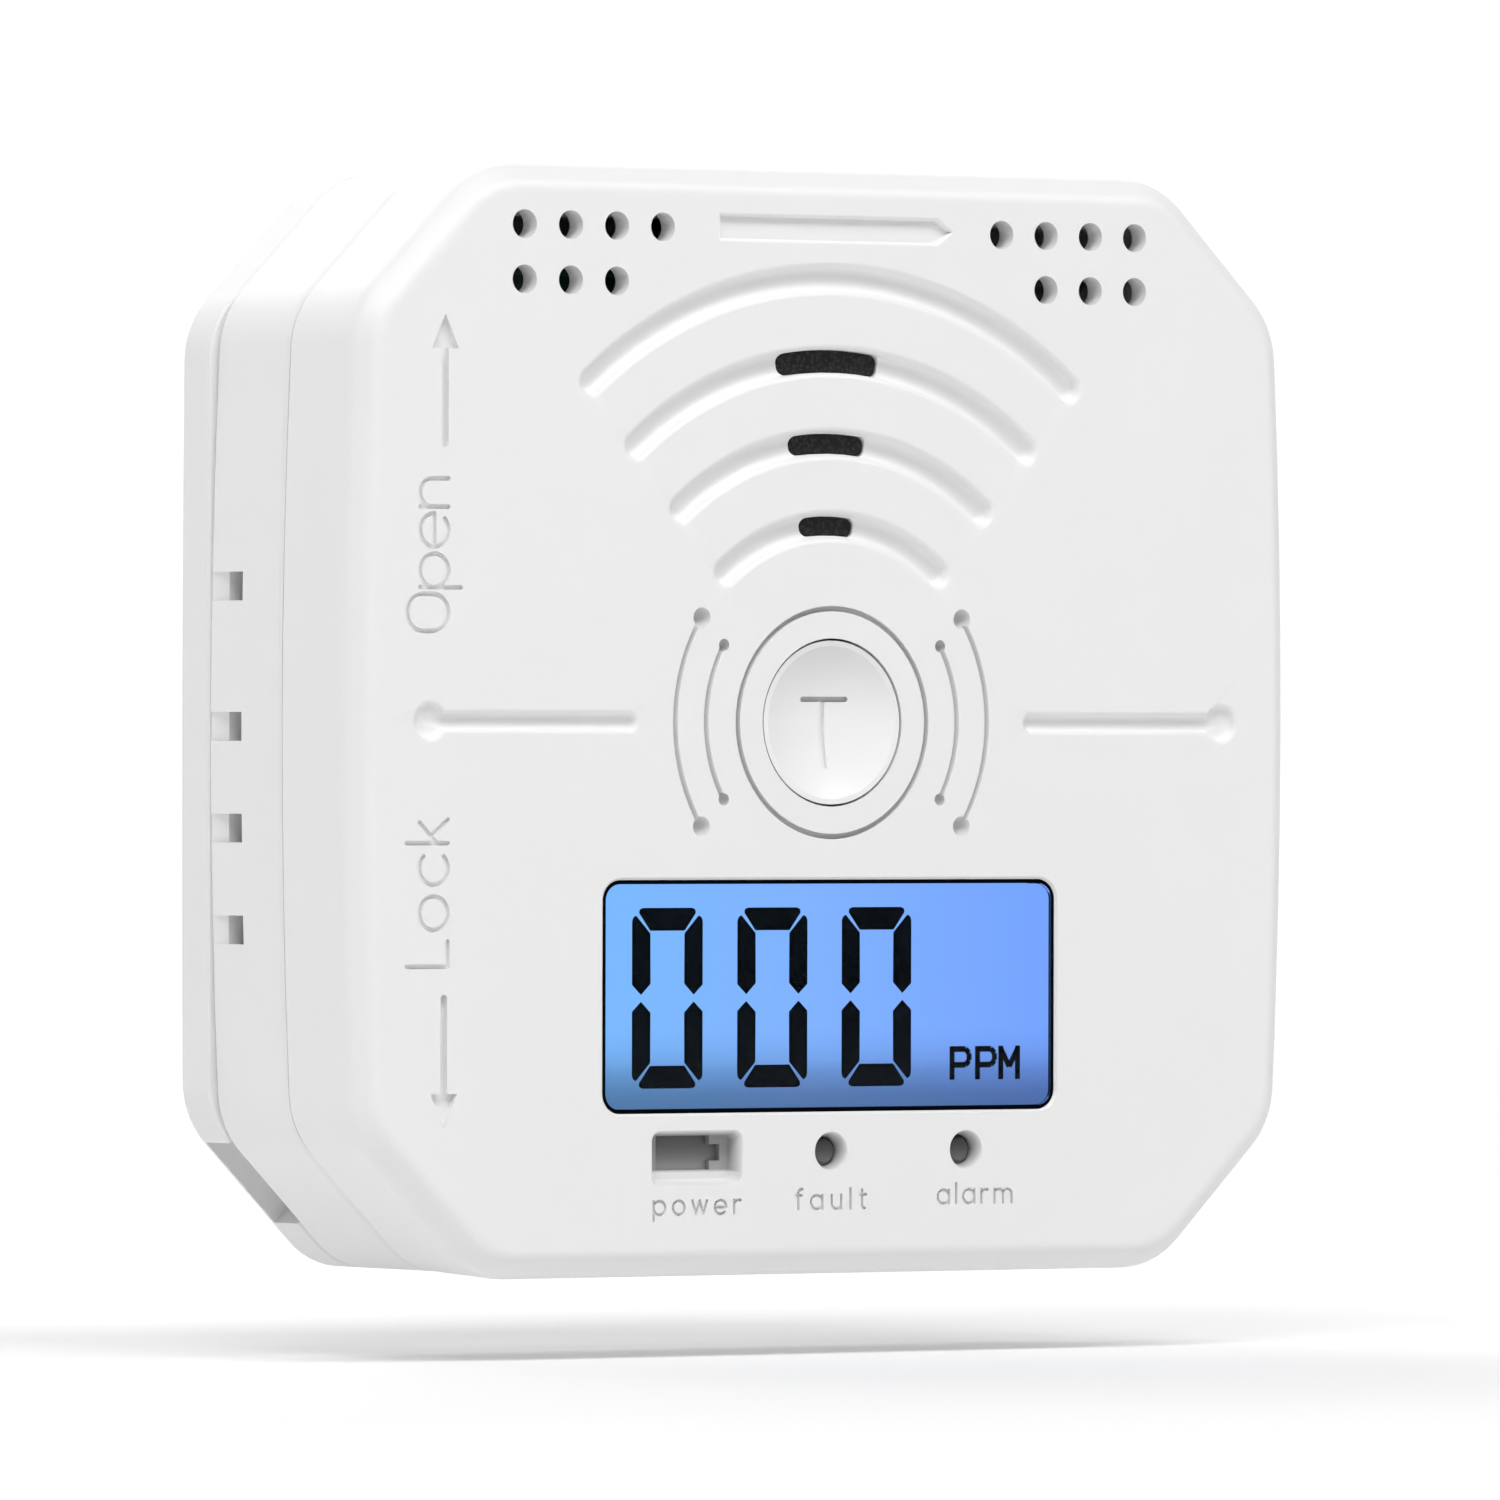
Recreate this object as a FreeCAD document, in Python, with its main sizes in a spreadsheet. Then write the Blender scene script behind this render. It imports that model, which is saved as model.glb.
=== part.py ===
import FreeCAD, Part
import math
import os
import re

import Sketcher
from FreeCAD import Placement, Rotation, Vector

# Wall-mounted carbon monoxide detector with a backlit display and a test button.
#
# Millimetres. Seen from the front, X runs to the right and Z up, and Y runs from the front face to the wall.
# The origin is the centre of the mounting plate's rear face. A depth is measured backwards from the front
# face, which lies at y = -case_depth.

SIZES = {
    # Outline of the case: a rounded octagon with slightly bowed sides, which narrows up to the parting line
    "case_depth": 24.0, "side_middle": 41.8, "top_edge": 40.5, "corner_sum": 70.8, "corner_round": 7.0,
    "side_bow": 548.0, "draft_slope": 0.0437, "bevel": 1.6, "bevel_round": 1.5, "edge_round": 0.35,
    # Shells
    "face_wall": 1.8, "side_wall": 2.0, "parting": 10.2, "parting_gap": 0.1, "lip_front": 8.2,
    "lip_wall": 1.2, "slip": 0.1, "weld": 0.2, "back_wall": 18.4, "back_face": 20.0,
    # Mounting plate and its bayonet hooks
    "plate_front": 20.09, "plate_floor": 22.0, "plate_inset": 0.45, "plate_bow": 3000.0, "plate_rim": 1.5,
    "notch_length": 8.4, "notch_shift": 1.85, "notch_back": 23.4, "notch_reach": 47.9,
    "hook_inner": 32.0, "hook_outer": 34.0, "hook_tip": 35.5,
    "hook_front": 17.3, "hook_step": 18.1, "hook_angle": 12.0, "twist_angle": 12.0, "hook_play_angle": 1.0,
    "hook_play": 0.3, "wall_screw_x": 25.0, "wall_slot_half": 4.0, "wall_slot_radius": 2.1,
    "wall_head_radius": 3.8, "wall_head_depth": 1.3,
    # Case screws and board screws
    "case_screw_x": 32.5, "case_screw_z": 30.0, "case_boss_radius": 3.0, "case_pilot_radius": 1.1,
    "case_shank_radius": 1.05, "case_shank_front": 4.0, "case_pilot_front": 3.4, "case_head_radius": 2.1,
    "case_head_front": 18.6, "case_sink_radius": 2.4, "case_clear_radius": 1.3,
    "board_screw_upper": 10.0, "board_screw_lower": 12.0, "board_boss_radius": 2.5,
    "board_pilot_radius": 0.8, "board_shank_radius": 0.75, "board_shank_front": 3.4,
    "board_head_radius": 1.6, "board_head_height": 1.2, "board_hole_radius": 1.0,
    # Vent holes and the black sound slots
    "vent_radius": 1.05, "vent_pitch": 4.0, "vent_inner_x": 15.0, "vent_row_z": 36.0,
    "sound_slot_round": 0.6,
    # Display
    "window_half_width": 20.0, "window_half_height": 8.5, "window_centre_z": -20.0, "window_round": 1.5,
    "window_bevel": 0.18, "gasket_width": 0.3, "gasket_front": 0.22, "lens_front": 0.12, "lens_back": 0.4,
    "lens_play": 0.02, "cell_front": 0.46, "glass_half_width": 21.5, "glass_top": -10.0,
    "glass_bottom": -29.4, "glass_front": 1.9, "glass_back": 4.4,
    "light_front": 4.5, "light_back": 6.9, "display_pin_pitch": 1.8, "display_pin_width": 0.5,
    # Circuit board and the parts on it
    "board_half_width": 36.0, "board_half_height": 35.5, "board_corner_sum": 57.5, "board_front": 7.0,
    "board_back": 8.6, "board_cutout_radius": 12.0,
    "sensor_x": -20.5, "sensor_z": 25.2, "sensor_radius": 6.5, "sensor_cap_radius": 5.6,
    "sensor_can_front": 9.1, "sensor_can_back": 16.6, "sensor_cap_back": 17.6, "sensor_port_radius": 0.8,
    "sensor_port_circle": 2.6, "sensor_pin_radius": 0.5, "sensor_pin_circle": 4.5,
    "chip_x": 24.0, "chip_z": 23.5, "chip_half": 3.5, "chip_front": 8.8, "chip_back": 10.2,
    "chip_leg_pitch": 0.8, "chip_leg_width": 0.3, "chip_leg_reach": 1.0,
    "capacitor_radius": 2.5, "capacitor_back": 15.0, "resistor_pitch": 4.0, "resistor_width": 1.6,
    "resistor_height": 0.8, "resistor_depth": 0.5, "resistor_row_z": -24.0,
    # Buzzer
    "buzzer_z": 21.0, "buzzer_radius": 11.0, "buzzer_front": 2.0, "buzzer_back": 9.0, "buzzer_wall": 1.0,
    "buzzer_ledge": 2.0, "buzzer_port_radius": 2.0, "disc_front": 4.2, "disc_thickness": 0.3,
    "disc_radius": 9.9, "ceramic_radius": 7.0, "ceramic_thickness": 0.2, "buzzer_base_front": 7.8,
    "buzzer_base_radius": 9.9, "buzzer_ear_reach": 14.0, "buzzer_ear_width": 3.0, "buzzer_ear_depth": 1.0,
    "screen_radius": 10.5, "screen_play": 0.02, "pad_front": 1.1, "pad_gap": 0.06,
    # Indicator lights
    "light_z": -31.4, "light_pitch": 12.0, "lens_radius": 1.05, "lens_tip": 0.95, "flange_radius": 1.45,
    "flange_front": 4.6, "light_base": 5.4, "lead_half": 0.25, "lead_spacing": 1.27,
    "light_hole_radius": 1.09, "light_funnel": 0.36, "light_funnel_depth": 1.1, "power_lens_tip": 2.6,
    "lens_nose": 0.25,
    # Test button and its switch
    "button_radius": 6.0, "button_gap": 0.17, "button_front": 0.1, "button_flange_front": 1.9,
    "button_flange_back": 2.7, "button_flange_radius": 7.0, "dish_radius": 5.6, "dish_depth": 1.3,
    "switch_half": 3.0, "switch_front": 3.8, "switch_cover_front": 3.6, "switch_bore_radius": 1.9,
    "plunger_radius": 1.75, "plunger_bore_radius": 1.8, "plunger_back": 5.0,
    "dome_front": 5.7, "dome_back": 6.4, "dome_radius": 2.4, "dome_thickness": 0.15,
    # Battery bay
    "bay_half_length": 25.25, "bay_half_height": 16.75, "bay_wall": 1.2, "bay_floor_front": 9.2,
    "bay_floor_back": 10.0, "cell_radius": 5.25, "cell_length": 43.3, "cell_nub_radius": 1.9,
    "cell_nub_length": 1.2, "cell_pitch": 11.0, "cell_depth": 15.45, "contact_thickness": 0.4,
    "contact_half_width": 4.0, "contact_front": 11.5, "contact_back": 19.0, "spring_strip": 0.3,
    "spring_half_span": 3.5, "spring_rise": 4.6, "spring_half_width": 2.5, "lead_radius": 0.6,
    "lead_bend": 1.8, "lead_run_x": 29.0, "lead_run_z": 14.4, "lead_depth": 13.0, "lead_notch": 0.9,
    # Ramped air inlets in the sides of the rear cover
    "inlet_height": 2.1, "inlet_front": 15.5, "inlet_hole_back": 18.2, "inlet_depth": 2.6,
    "inlet_ramp_depth": 0.6, "inlet_surface": 41.3,
    # Grooves on the face
    "arc_half_width": 0.85, "arc_depth": 0.95, "arc_shoulder": 0.45, "arc_half_angle": 40.5,
    "arc_first_radius": 14.4, "arc_pitch": 6.03,
    "ring_radius": 8.35, "ring_half_width": 0.2, "fine_depth": 0.5, "fine_shoulder": 0.08,
    "outer_wave_radius": 13.8, "outer_wave_angle": 33.5, "inner_wave_radius": 11.1,
    "inner_wave_angle": 30.5, "wave_half_width": 0.19, "wave_dimple": 0.75, "inner_wave_dimple": 0.45,
    "wave_dimple_depth": 0.75,
    "rule_inner_x": 17.8, "rule_outer_x": 35.0, "rule_half_width": 0.55, "rule_depth": 0.7,
    "rule_shoulder": 0.4, "rule_dimple": 1.6, "rule_dimple_depth": 0.65,
    "bar_left": -9.8, "bar_right": 10.5, "bar_point": 1.44, "bar_centre_z": 36.1, "bar_half_width": 0.8,
    "bar_depth": 0.55, "bar_slope": 0.3,
    "arrow_x": -33.8, "arrow_tail_z": 20.0, "arrow_tip_z": 29.4, "arrow_head": 2.5, "arrow_half_head": 1.15,
    "arrow_half_width": 0.28,
    # Recess for the power light
    "power_half_width": 4.0, "power_half_height": 2.02, "power_centre_x": -11.8, "power_centre_z": -31.76,
    "power_depth": 1.3, "power_round": 0.75, "power_slope": 0.45, "power_window_margin": 0.3,
    "power_window_back": 2.4, "power_opening_left": -14.6, "power_opening_right": -9.9,
    "power_opening_half": 1.25, "power_nub_right": -9.0, "power_nub_half": 0.6,
    # Lettering
    "letter_depth": 0.3, "side_letter_height": 2.42, "side_letter_stroke": 0.17,
    "label_height": 1.0, "label_stroke": 0.11, "side_base_x": -33.5,
    "button_letter_height": 3.45, "button_letter_stroke": 0.2, "button_letter_depth": 0.3,
    "button_letter_drop": 0.8,
}

# Concentric arcs above the button, and the sound slots in the inner three: half the length and half the width
ARC_COUNT = 4
SOUND_SLOTS = ((2.4, 0.71), (3.38, 0.74), (4.5, 0.83))

# Steps of a groove's cross-section, as angles round its shoulder and round its bottom
SHOULDER_ANGLES = (30, 60)
BOTTOM_ANGLES = (0, 25, 45, 62, 78)

# Heights of the air inlets
INLET_HEIGHTS = (9.8, -0.4, -7.8, -15.2)

# Words on the face. The side words read upwards: text, where it starts and its length.
SIDE_WORDS = (("Open", 6.5, 11.0), ("Lock", -17.7, 10.6))
# The words under the lights: text, where it starts, its base line and its length
LIGHT_WORDS = (("power", -15.6, -35.85, 7.6), ("fault", -3.1, -35.6, 6.2), ("alarm", 9.5, -35.35, 6.6))

# Places of the capacitors on the board
CAPACITOR_PLACES = ((14.5, 31.5), (13.0, -27.0), (20.0, -27.0))

# How far a cutter reaches out of the surface that it enters
OVERCUT = 0.3

doc = FreeCAD.newDocument("carbon_monoxide_detector")
sheet = doc.addObject("Spreadsheet::Sheet", "Sizes")
for row, (cell_name, cell_value) in enumerate(SIZES.items(), 1):
    sheet.set(f"A{row}", cell_name)
    sheet.set(f"B{row}", str(cell_value))
    sheet.setAlias(f"B{row}", cell_name)
doc.recompute()

pieces = []


def size(name):
    """The value of one of the sheet's cells."""
    return float(sheet.get(name))


def formula(text):
    """Point each size that the text names at its cell of the sheet."""
    def cell(word):
        return f"Sizes.{word[0]}" if word[0] in SIZES else word[0]
    return re.sub(r"[a-z_]+", cell, text)


def bind(item, formulas):
    """Bind properties of an object to formulas of the sheet's sizes."""
    for property_name, text in formulas.items():
        item.setExpression(property_name, formula(text))
    return item


def piece(item, label):
    """Name an object as one of the detector's sub-parts."""
    item.Label = label
    pieces.append(item)
    return item


# Primitives and booleans

def rod(name, radius, front, back, x="0", z="0"):
    """A round bar along Y between two depths."""
    bar = doc.addObject("Part::Cylinder", name)
    bar.Placement = Placement(Vector(), Rotation(Vector(1, 0, 0), -90))
    return bind(bar, {
        "Radius": radius, "Height": f"({back}) - ({front})",
        "Placement.Base.x": x, "Placement.Base.y": f"{front} - case_depth", "Placement.Base.z": z,
    })


def bar_along_x(name, radius, start, length, z, depth):
    """A round bar along X."""
    bar = doc.addObject("Part::Cylinder", name)
    bar.Placement = Placement(Vector(), Rotation(Vector(0, 1, 0), 90))
    return bind(bar, {
        "Radius": radius, "Height": length,
        "Placement.Base.x": start, "Placement.Base.y": f"{depth} - case_depth", "Placement.Base.z": z,
    })


def block(name, left, right, bottom, top, front, back):
    """A box between two depths."""
    box = doc.addObject("Part::Box", name)
    return bind(box, {
        "Length": f"({right}) - ({left})",
        "Width": f"({back}) - ({front})",
        "Height": f"({top}) - ({bottom})",
        "Placement.Base.x": left, "Placement.Base.y": f"{front} - case_depth", "Placement.Base.z": bottom,
    })


def sector(name, inner, outer, start_angle, sweep, front, back):
    """A slice of a ring about the origin. Its angles are counted from +X towards +Z."""
    wedge = doc.addObject("Part::Cylinder", f"{name}_wedge")
    to_front = Rotation(Vector(1, 0, 0), 90)
    wedge.Placement = Placement(Vector(), to_front.multiply(Rotation(Vector(0, 0, 1), start_angle)))
    bind(wedge, {"Radius": outer, "Height": f"({back}) - ({front})", "Angle": sweep,
                 "Placement.Base.y": f"{back} - case_depth"})
    core = rod(f"{name}_core", inner, f"{front} - weld", f"{back} + weld")
    return cut(name, wedge, core)


def joined(name, members):
    """One solid made of several that touch or overlap."""
    fusion = doc.addObject("Part::MultiFuse", name)
    fusion.Shapes = members
    return fusion


def collected(name, members):
    """Separate solids kept together."""
    compound = doc.addObject("Part::Compound", name)
    compound.Links = members
    return compound


def cut(name, base, *tools):
    """The base with each of the tools taken out of it in turn."""
    result = base
    for number, tool in enumerate(tools, 1):
        difference = doc.addObject("Part::Cut", name if number == len(tools) else f"{name}_step_{number}")
        difference.Base = result
        difference.Tool = tool
        result = difference
    return result


# Sketches and bodies

def new_sketch(body, name, depth):
    """A sketch parallel to the face, at a depth. Its x is the frame's X and its y is the frame's Z."""
    sketch = body.newObject("Sketcher::SketchObject", name)
    plane = next(item for item in body.Origin.OriginFeatures if item.Role == "XZ_Plane")
    sketch.AttachmentSupport = (plane, [""])
    sketch.MapMode = "FlatFace"
    return bind(sketch, {"AttachmentOffset.Base.z": f"case_depth - ({depth})"})


def dimension(sketch, text, value, kind, *where):
    """A constraint that starts at a value and follows a formula."""
    index = sketch.addConstraint(Sketcher.Constraint(kind, *where, value))
    sketch.renameConstraint(index, f"size_{index}")
    bind(sketch, {f"Constraints.size_{index}": text})


def sketch_arc(x, z, radius, start, end):
    """An arc of a circle in a sketch, between two angles."""
    return Part.ArcOfCircle(Part.Circle(Vector(x, z, 0), Vector(0, 0, 1), radius), start, end)


def join_edges(sketch, edges):
    """Fill each gap between arcs with its straight edge, and make every edge tangent to the next."""
    for index, edge in enumerate(edges):
        if edge is None:
            before = edges[index - 1]
            after = edges[(index + 1) % len(edges)]
            start = before.value(before.LastParameter)
            edges[index] = Part.LineSegment(start, after.value(after.FirstParameter))
    sketch.addGeometry(edges, False)
    for index in range(len(edges)):
        sketch.addConstraint(Sketcher.Constraint("Tangent", index, 2, (index + 1) % len(edges), 1))


def case_outline(body, name, depth, inset, bow_size):
    """The rounded octagon with bowed sides, moved inwards by an inset."""
    sketch = new_sketch(body, name, depth)
    bow = size(bow_size)
    rounding = size("corner_round")
    corner = size("corner_sum") / math.sqrt(2)
    bow_centre = size("side_middle") - bow
    reach = size("corner_sum") - rounding * math.sqrt(2)
    top_z = size("top_edge") - rounding
    top_x = reach - top_z
    run = reach - bow_centre
    side_z = (run - math.sqrt(2 * (bow - rounding) ** 2 - run ** 2)) / 2
    side_x = reach - side_z
    lean = math.atan2(side_z, side_x - bow_centre)
    quarter = math.pi / 2
    edges = []
    for quadrant in range(4):
        sign_x = 1 if quadrant in (0, 3) else -1
        sign_z = 1 if quadrant < 2 else -1
        start = quadrant * quarter
        middle = start + quarter / 2
        end = start + quarter
        if quadrant % 2 == 0:
            edges.append(sketch_arc(sign_x * bow_centre, 0, bow, start - lean, start + lean))
            edges.append(sketch_arc(sign_x * side_x, sign_z * side_z, rounding, start + lean, middle))
            edges.append(None)
            edges.append(sketch_arc(sign_x * top_x, sign_z * top_z, rounding, middle, end))
        else:
            edges.append(None)
            edges.append(sketch_arc(sign_x * top_x, sign_z * top_z, rounding, start, middle))
            edges.append(None)
            edges.append(sketch_arc(sign_x * side_x, sign_z * side_z, rounding, middle, end - lean))
    join_edges(sketch, edges)
    for index in range(3, len(edges), 2):
        sketch.addConstraint(Sketcher.Constraint("Equal", 1, index))
    sketch.addConstraint(Sketcher.Constraint("Equal", 0, 8))
    for index in (0, 8):
        sketch.addConstraint(Sketcher.Constraint("PointOnObject", index, 3, -1))
    for index in (4, 12):
        sketch.addConstraint(Sketcher.Constraint("Horizontal", index))
    dimension(sketch, f"{bow_size} - ({inset})", bow, "Radius", 0)
    dimension(sketch, f"corner_round - ({inset})", rounding, "Radius", 1)
    dimension(sketch, f"{bow_size} - side_middle", -bow_centre, "DistanceX", 0, 3, -1, 1)
    dimension(sketch, f"{bow_size} - side_middle", -bow_centre, "DistanceX", -1, 1, 8, 3)
    dimension(sketch, f"top_edge - ({inset})", size("top_edge"), "DistanceY", -1, 1, 4, 1)
    dimension(sketch, f"top_edge - ({inset})", size("top_edge"), "DistanceY", 12, 1, -1, 1)
    for index, heading in ((2, 135), (6, -135), (10, -45), (14, 45)):
        sketch.addConstraint(Sketcher.Constraint("Angle", index, math.radians(heading)))
        dimension(sketch, f"corner_sum / sqrt(2) - ({inset})", corner, "Distance", -1, 1, index)
    return sketch


def case_loft(body, name, kind, sections, bow_size="side_bow"):
    """A loft through case outlines, each given as a depth and an inset."""
    outlines = [case_outline(body, f"{name}_{number}", depth, inset, bow_size)
                for number, (depth, inset) in enumerate(sections)]
    feature = body.newObject(f"PartDesign::{kind}", name)
    feature.Profile = outlines[0]
    feature.Sections = outlines[1:]
    feature.Ruled = True
    return feature


def drafted(depth, inset="0"):
    """A section that follows the draft of the front cover's sides."""
    return (depth, f"draft_slope * ({depth}) + {inset}")


def upright(depth, inset="0"):
    """A section behind the parting line, where the sides run straight back."""
    return (depth, f"draft_slope * parting + {inset}")


def rounded_slab(name, half_width, half_height, rounding, centre_z, front, back):
    """A body: a flat plate with rounded corners, centred on X = 0, between two depths."""
    body = doc.addObject("PartDesign::Body", name)
    sketch = new_sketch(body, f"{name}_outline", front)
    # The outline is first drawn at these values, then the dimensions give it its true size
    start_width = 20.0
    start_height = 8.0
    start_round = 1.0
    start_z = size("window_centre_z")
    edges = []
    for quadrant, (sign_x, sign_z) in enumerate(((1, 1), (-1, 1), (-1, -1), (1, -1))):
        start = quadrant * math.pi / 2
        x = sign_x * (start_width - start_round)
        z = start_z + sign_z * (start_height - start_round)
        edges += [sketch_arc(x, z, start_round, start, start + math.pi / 2), None]
    join_edges(sketch, edges)
    for index in (2, 4, 6):
        sketch.addConstraint(Sketcher.Constraint("Equal", 0, index))
    for index in (1, 5):
        sketch.addConstraint(Sketcher.Constraint("Horizontal", index))
    for index in (3, 7):
        sketch.addConstraint(Sketcher.Constraint("Vertical", index))
    dimension(sketch, rounding, start_round, "Radius", 0)
    dimension(sketch, half_width, start_width, "DistanceX", -1, 1, 7, 1)
    dimension(sketch, half_width, start_width, "DistanceX", 3, 1, -1, 1)
    for sign, corner in ((-1, 1), (1, 5)):
        drop = f"-1 * ({centre_z}) + {sign} * ({half_height})"
        dimension(sketch, drop, -start_z + sign * start_height, "DistanceY", corner, 1, -1, 1)
    pad = body.newObject("PartDesign::Pad", f"{name}_pad")
    pad.Profile = sketch
    pad.Reversed = True
    bind(pad, {"Length": f"({back}) - ({front})"})
    return body


# Cutters shaped by Part's own functions

def at(x, z, depth):
    """A point by its place on the face and its depth."""
    return Vector(x, depth - size("case_depth"), z)


def polar(radius, degrees, depth, x=0.0, z=0.0):
    """A point at an angle counted from +X towards +Z."""
    angle = math.radians(degrees)
    return at(x + radius * math.cos(angle), z + radius * math.sin(angle), depth)


def arc_edge(points):
    """A round edge through three points."""
    return Part.Arc(*points).toShape()


def arc_slot(radius, middle, half_angle, x=0.0, z=0.0):
    """The outline of a slot along an arc, as a function of its half width and its depth."""
    def outline(half_width, depth):
        start = middle - half_angle
        end = middle + half_angle
        outer = radius + half_width
        inner = radius - half_width
        cap = math.degrees(half_width / radius)
        ends = ((outer, start), (outer, end), (inner, end), (inner, start))
        corners = [polar(reach, angle, depth, x, z) for reach, angle in ends]
        return Part.Wire([
            arc_edge((corners[0], polar(outer, middle, depth, x, z), corners[1])),
            arc_edge((corners[1], polar(radius, end + cap, depth, x, z), corners[2])),
            arc_edge((corners[2], polar(inner, middle, depth, x, z), corners[3])),
            arc_edge((corners[3], polar(radius, start - cap, depth, x, z), corners[0])),
        ])
    return outline


def straight_slot(start_x, start_z, end_x, end_z):
    """The outline of a straight slot with round ends, as a function of its half width and its depth."""
    def outline(half_width, depth):
        along = Vector(end_x - start_x, 0, end_z - start_z).normalize()
        across = Vector(-along.z, 0, along.x) * half_width
        tip = along * half_width
        start = at(start_x, start_z, depth)
        end = at(end_x, end_z, depth)
        return Part.Wire([
            Part.LineSegment(start - across, end - across).toShape(),
            arc_edge((end - across, end + tip, end + across)),
            Part.LineSegment(end + across, start + across).toShape(),
            arc_edge((start + across, start - tip, start - across)),
        ])
    return outline


def circle_outline(radius, x=0.0, z=0.0):
    """The outline of a round hole that is wider than the radius by its half width."""
    def outline(half_width, depth):
        circle = Part.Circle(at(x, z, depth), Vector(0, 1, 0), radius + half_width)
        return Part.Wire([circle.toShape()])
    return outline


def rounded_outline(half_width, half_height, rounding, centre_x, centre_z):
    """The outline of a rectangle with rounded corners, as a function of how far it spreads and its depth."""
    def outline(spread, depth):
        turn = rounding + spread
        edges = []
        ends = []
        for quadrant, (sign_x, sign_z) in enumerate(((1, 1), (-1, 1), (-1, -1), (1, -1))):
            x = centre_x + sign_x * (half_width - rounding)
            z = centre_z + sign_z * (half_height - rounding)
            points = [polar(turn, 90 * quadrant + lean, depth, x, z) for lean in (0, 45, 90)]
            edges.append(arc_edge(points))
            ends.append((points[0], points[2]))
        for number, (start, end) in enumerate(ends):
            edges.insert(2 * number + 1, Part.LineSegment(end, ends[(number + 1) % 4][0]).toShape())
        return Part.Wire(edges)
    return outline


def stepped(outline, steps):
    """A solid through an outline's shapes at several depths and half widths."""
    return Part.makeLoft([outline(half_width, depth) for depth, half_width in steps], True, True)


def soft_groove(outline, half_width, depth, shoulder):
    """A groove with a round bottom and rounded shoulders."""
    steps = [(-OVERCUT, half_width + shoulder), (0.0, half_width + shoulder)]
    for degrees in SHOULDER_ANGLES:
        angle = math.radians(degrees)
        steps.append((shoulder * (1 - math.cos(angle)), half_width + shoulder * (1 - math.sin(angle))))
    for degrees in BOTTOM_ANGLES:
        angle = math.radians(degrees)
        steps.append((shoulder + (depth - shoulder) * math.sin(angle), half_width * math.cos(angle)))
    return stepped(outline, steps)


def straight_cut(outline, half_width, depth):
    """A cut with upright walls."""
    return stepped(outline, [(-OVERCUT, half_width), (depth, half_width)])


def prism(corners, depth):
    """A cut with upright walls whose outline runs through the given places on the face."""
    points = [at(x, z, -OVERCUT) for x, z in corners]
    face = Part.Face(Part.makePolygon(points + points[:1]))
    return face.extrude(Vector(0, OVERCUT + depth, 0))


def dimple(x, z, radius, depth):
    """A shallow round hollow, as a sphere's cap."""
    ball = (radius ** 2 + depth ** 2) / (2 * depth)
    return Part.makeSphere(ball, at(x, z, depth - ball))


def shaped(name, shapes):
    """An object that holds separate solids made by Part's functions."""
    item = doc.addObject("Part::Feature", name)
    item.Shape = Part.makeCompound(shapes)
    return item


# Each letter: its width and its strokes, on a grid where a small letter is 1 high and a capital 1.45
CAPITAL = 1.45
BOWL = 0.5
ARCH = 0.42
LETTERS = {
    "T": (1.1, [("line", 0, CAPITAL, 1.1, CAPITAL), ("line", 0.55, 0, 0.55, CAPITAL)]),
    "O": (1.1, [("arc", 0.55, 0.9, 0.55, 90, 90), ("arc", 0.55, 0.55, 0.55, 270, 90),
                ("line", 0, 0.55, 0, 0.9), ("line", 1.1, 0.55, 1.1, 0.9)]),
    "L": (0.75, [("line", 0, 0, 0, CAPITAL), ("line", 0, 0, 0.75, 0)]),
    "a": (1.0, [("arc", BOWL, BOWL, BOWL, 90, 90), ("arc", BOWL, BOWL, BOWL, 270, 90),
                ("line", 1, 0, 1, 1)]),
    "c": (0.9, [("arc", BOWL, BOWL, BOWL, 180, 135)]),
    "e": (1.0, [("arc", BOWL, BOWL, BOWL, 90, 90), ("arc", BOWL, BOWL, BOWL, 247, 67),
                ("line", 0, BOWL, 1, BOWL)]),
    "f": (0.5, [("line", 0.2, 0, 0.2, 1.15), ("arc", 0.5, 1.15, 0.3, 130, 50), ("line", 0, 1, 0.5, 1)]),
    "k": (0.7, [("line", 0, 0, 0, CAPITAL), ("line", 0, 0.38, 0.62, 1), ("line", 0.22, 0.6, 0.7, 0)]),
    "l": (0.0, [("line", 0, 0, 0, CAPITAL)]),
    "m": (1.52, [("line", 0, 0, 0, 1), ("arc", 0.38, 0.62, 0.38, 90, 90), ("line", 0.76, 0, 0.76, 0.62),
                 ("arc", 1.14, 0.62, 0.38, 90, 90), ("line", 1.52, 0, 1.52, 0.62)]),
    "n": (0.84, [("line", 0, 0, 0, 1), ("arc", ARCH, 0.58, ARCH, 90, 90), ("line", 0.84, 0, 0.84, 0.58)]),
    "o": (1.0, [("arc", BOWL, BOWL, BOWL, 90, 90), ("arc", BOWL, BOWL, BOWL, 270, 90)]),
    "p": (1.0, [("line", 0, -0.45, 0, 1), ("arc", BOWL, BOWL, BOWL, 90, 90),
                ("arc", BOWL, BOWL, BOWL, 270, 90)]),
    "r": (0.55, [("line", 0, 0, 0, 1), ("arc", ARCH, 0.58, ARCH, 125, 55)]),
    "t": (0.55, [("line", 0.2, 0.25, 0.2, 1.35), ("arc", 0.45, 0.25, 0.25, 225, 45),
                 ("line", 0, 1, 0.55, 1)]),
    "u": (0.84, [("line", 0, ARCH, 0, 1), ("arc", ARCH, ARCH, ARCH, 270, 90), ("line", 0.84, 0, 0.84, 1)]),
    "w": (1.28, [("line", 0, 1, 0.32, 0), ("line", 0.32, 0, 0.64, 1), ("line", 0.64, 1, 0.96, 0),
                 ("line", 0.96, 0, 1.28, 1)]),
}


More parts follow.
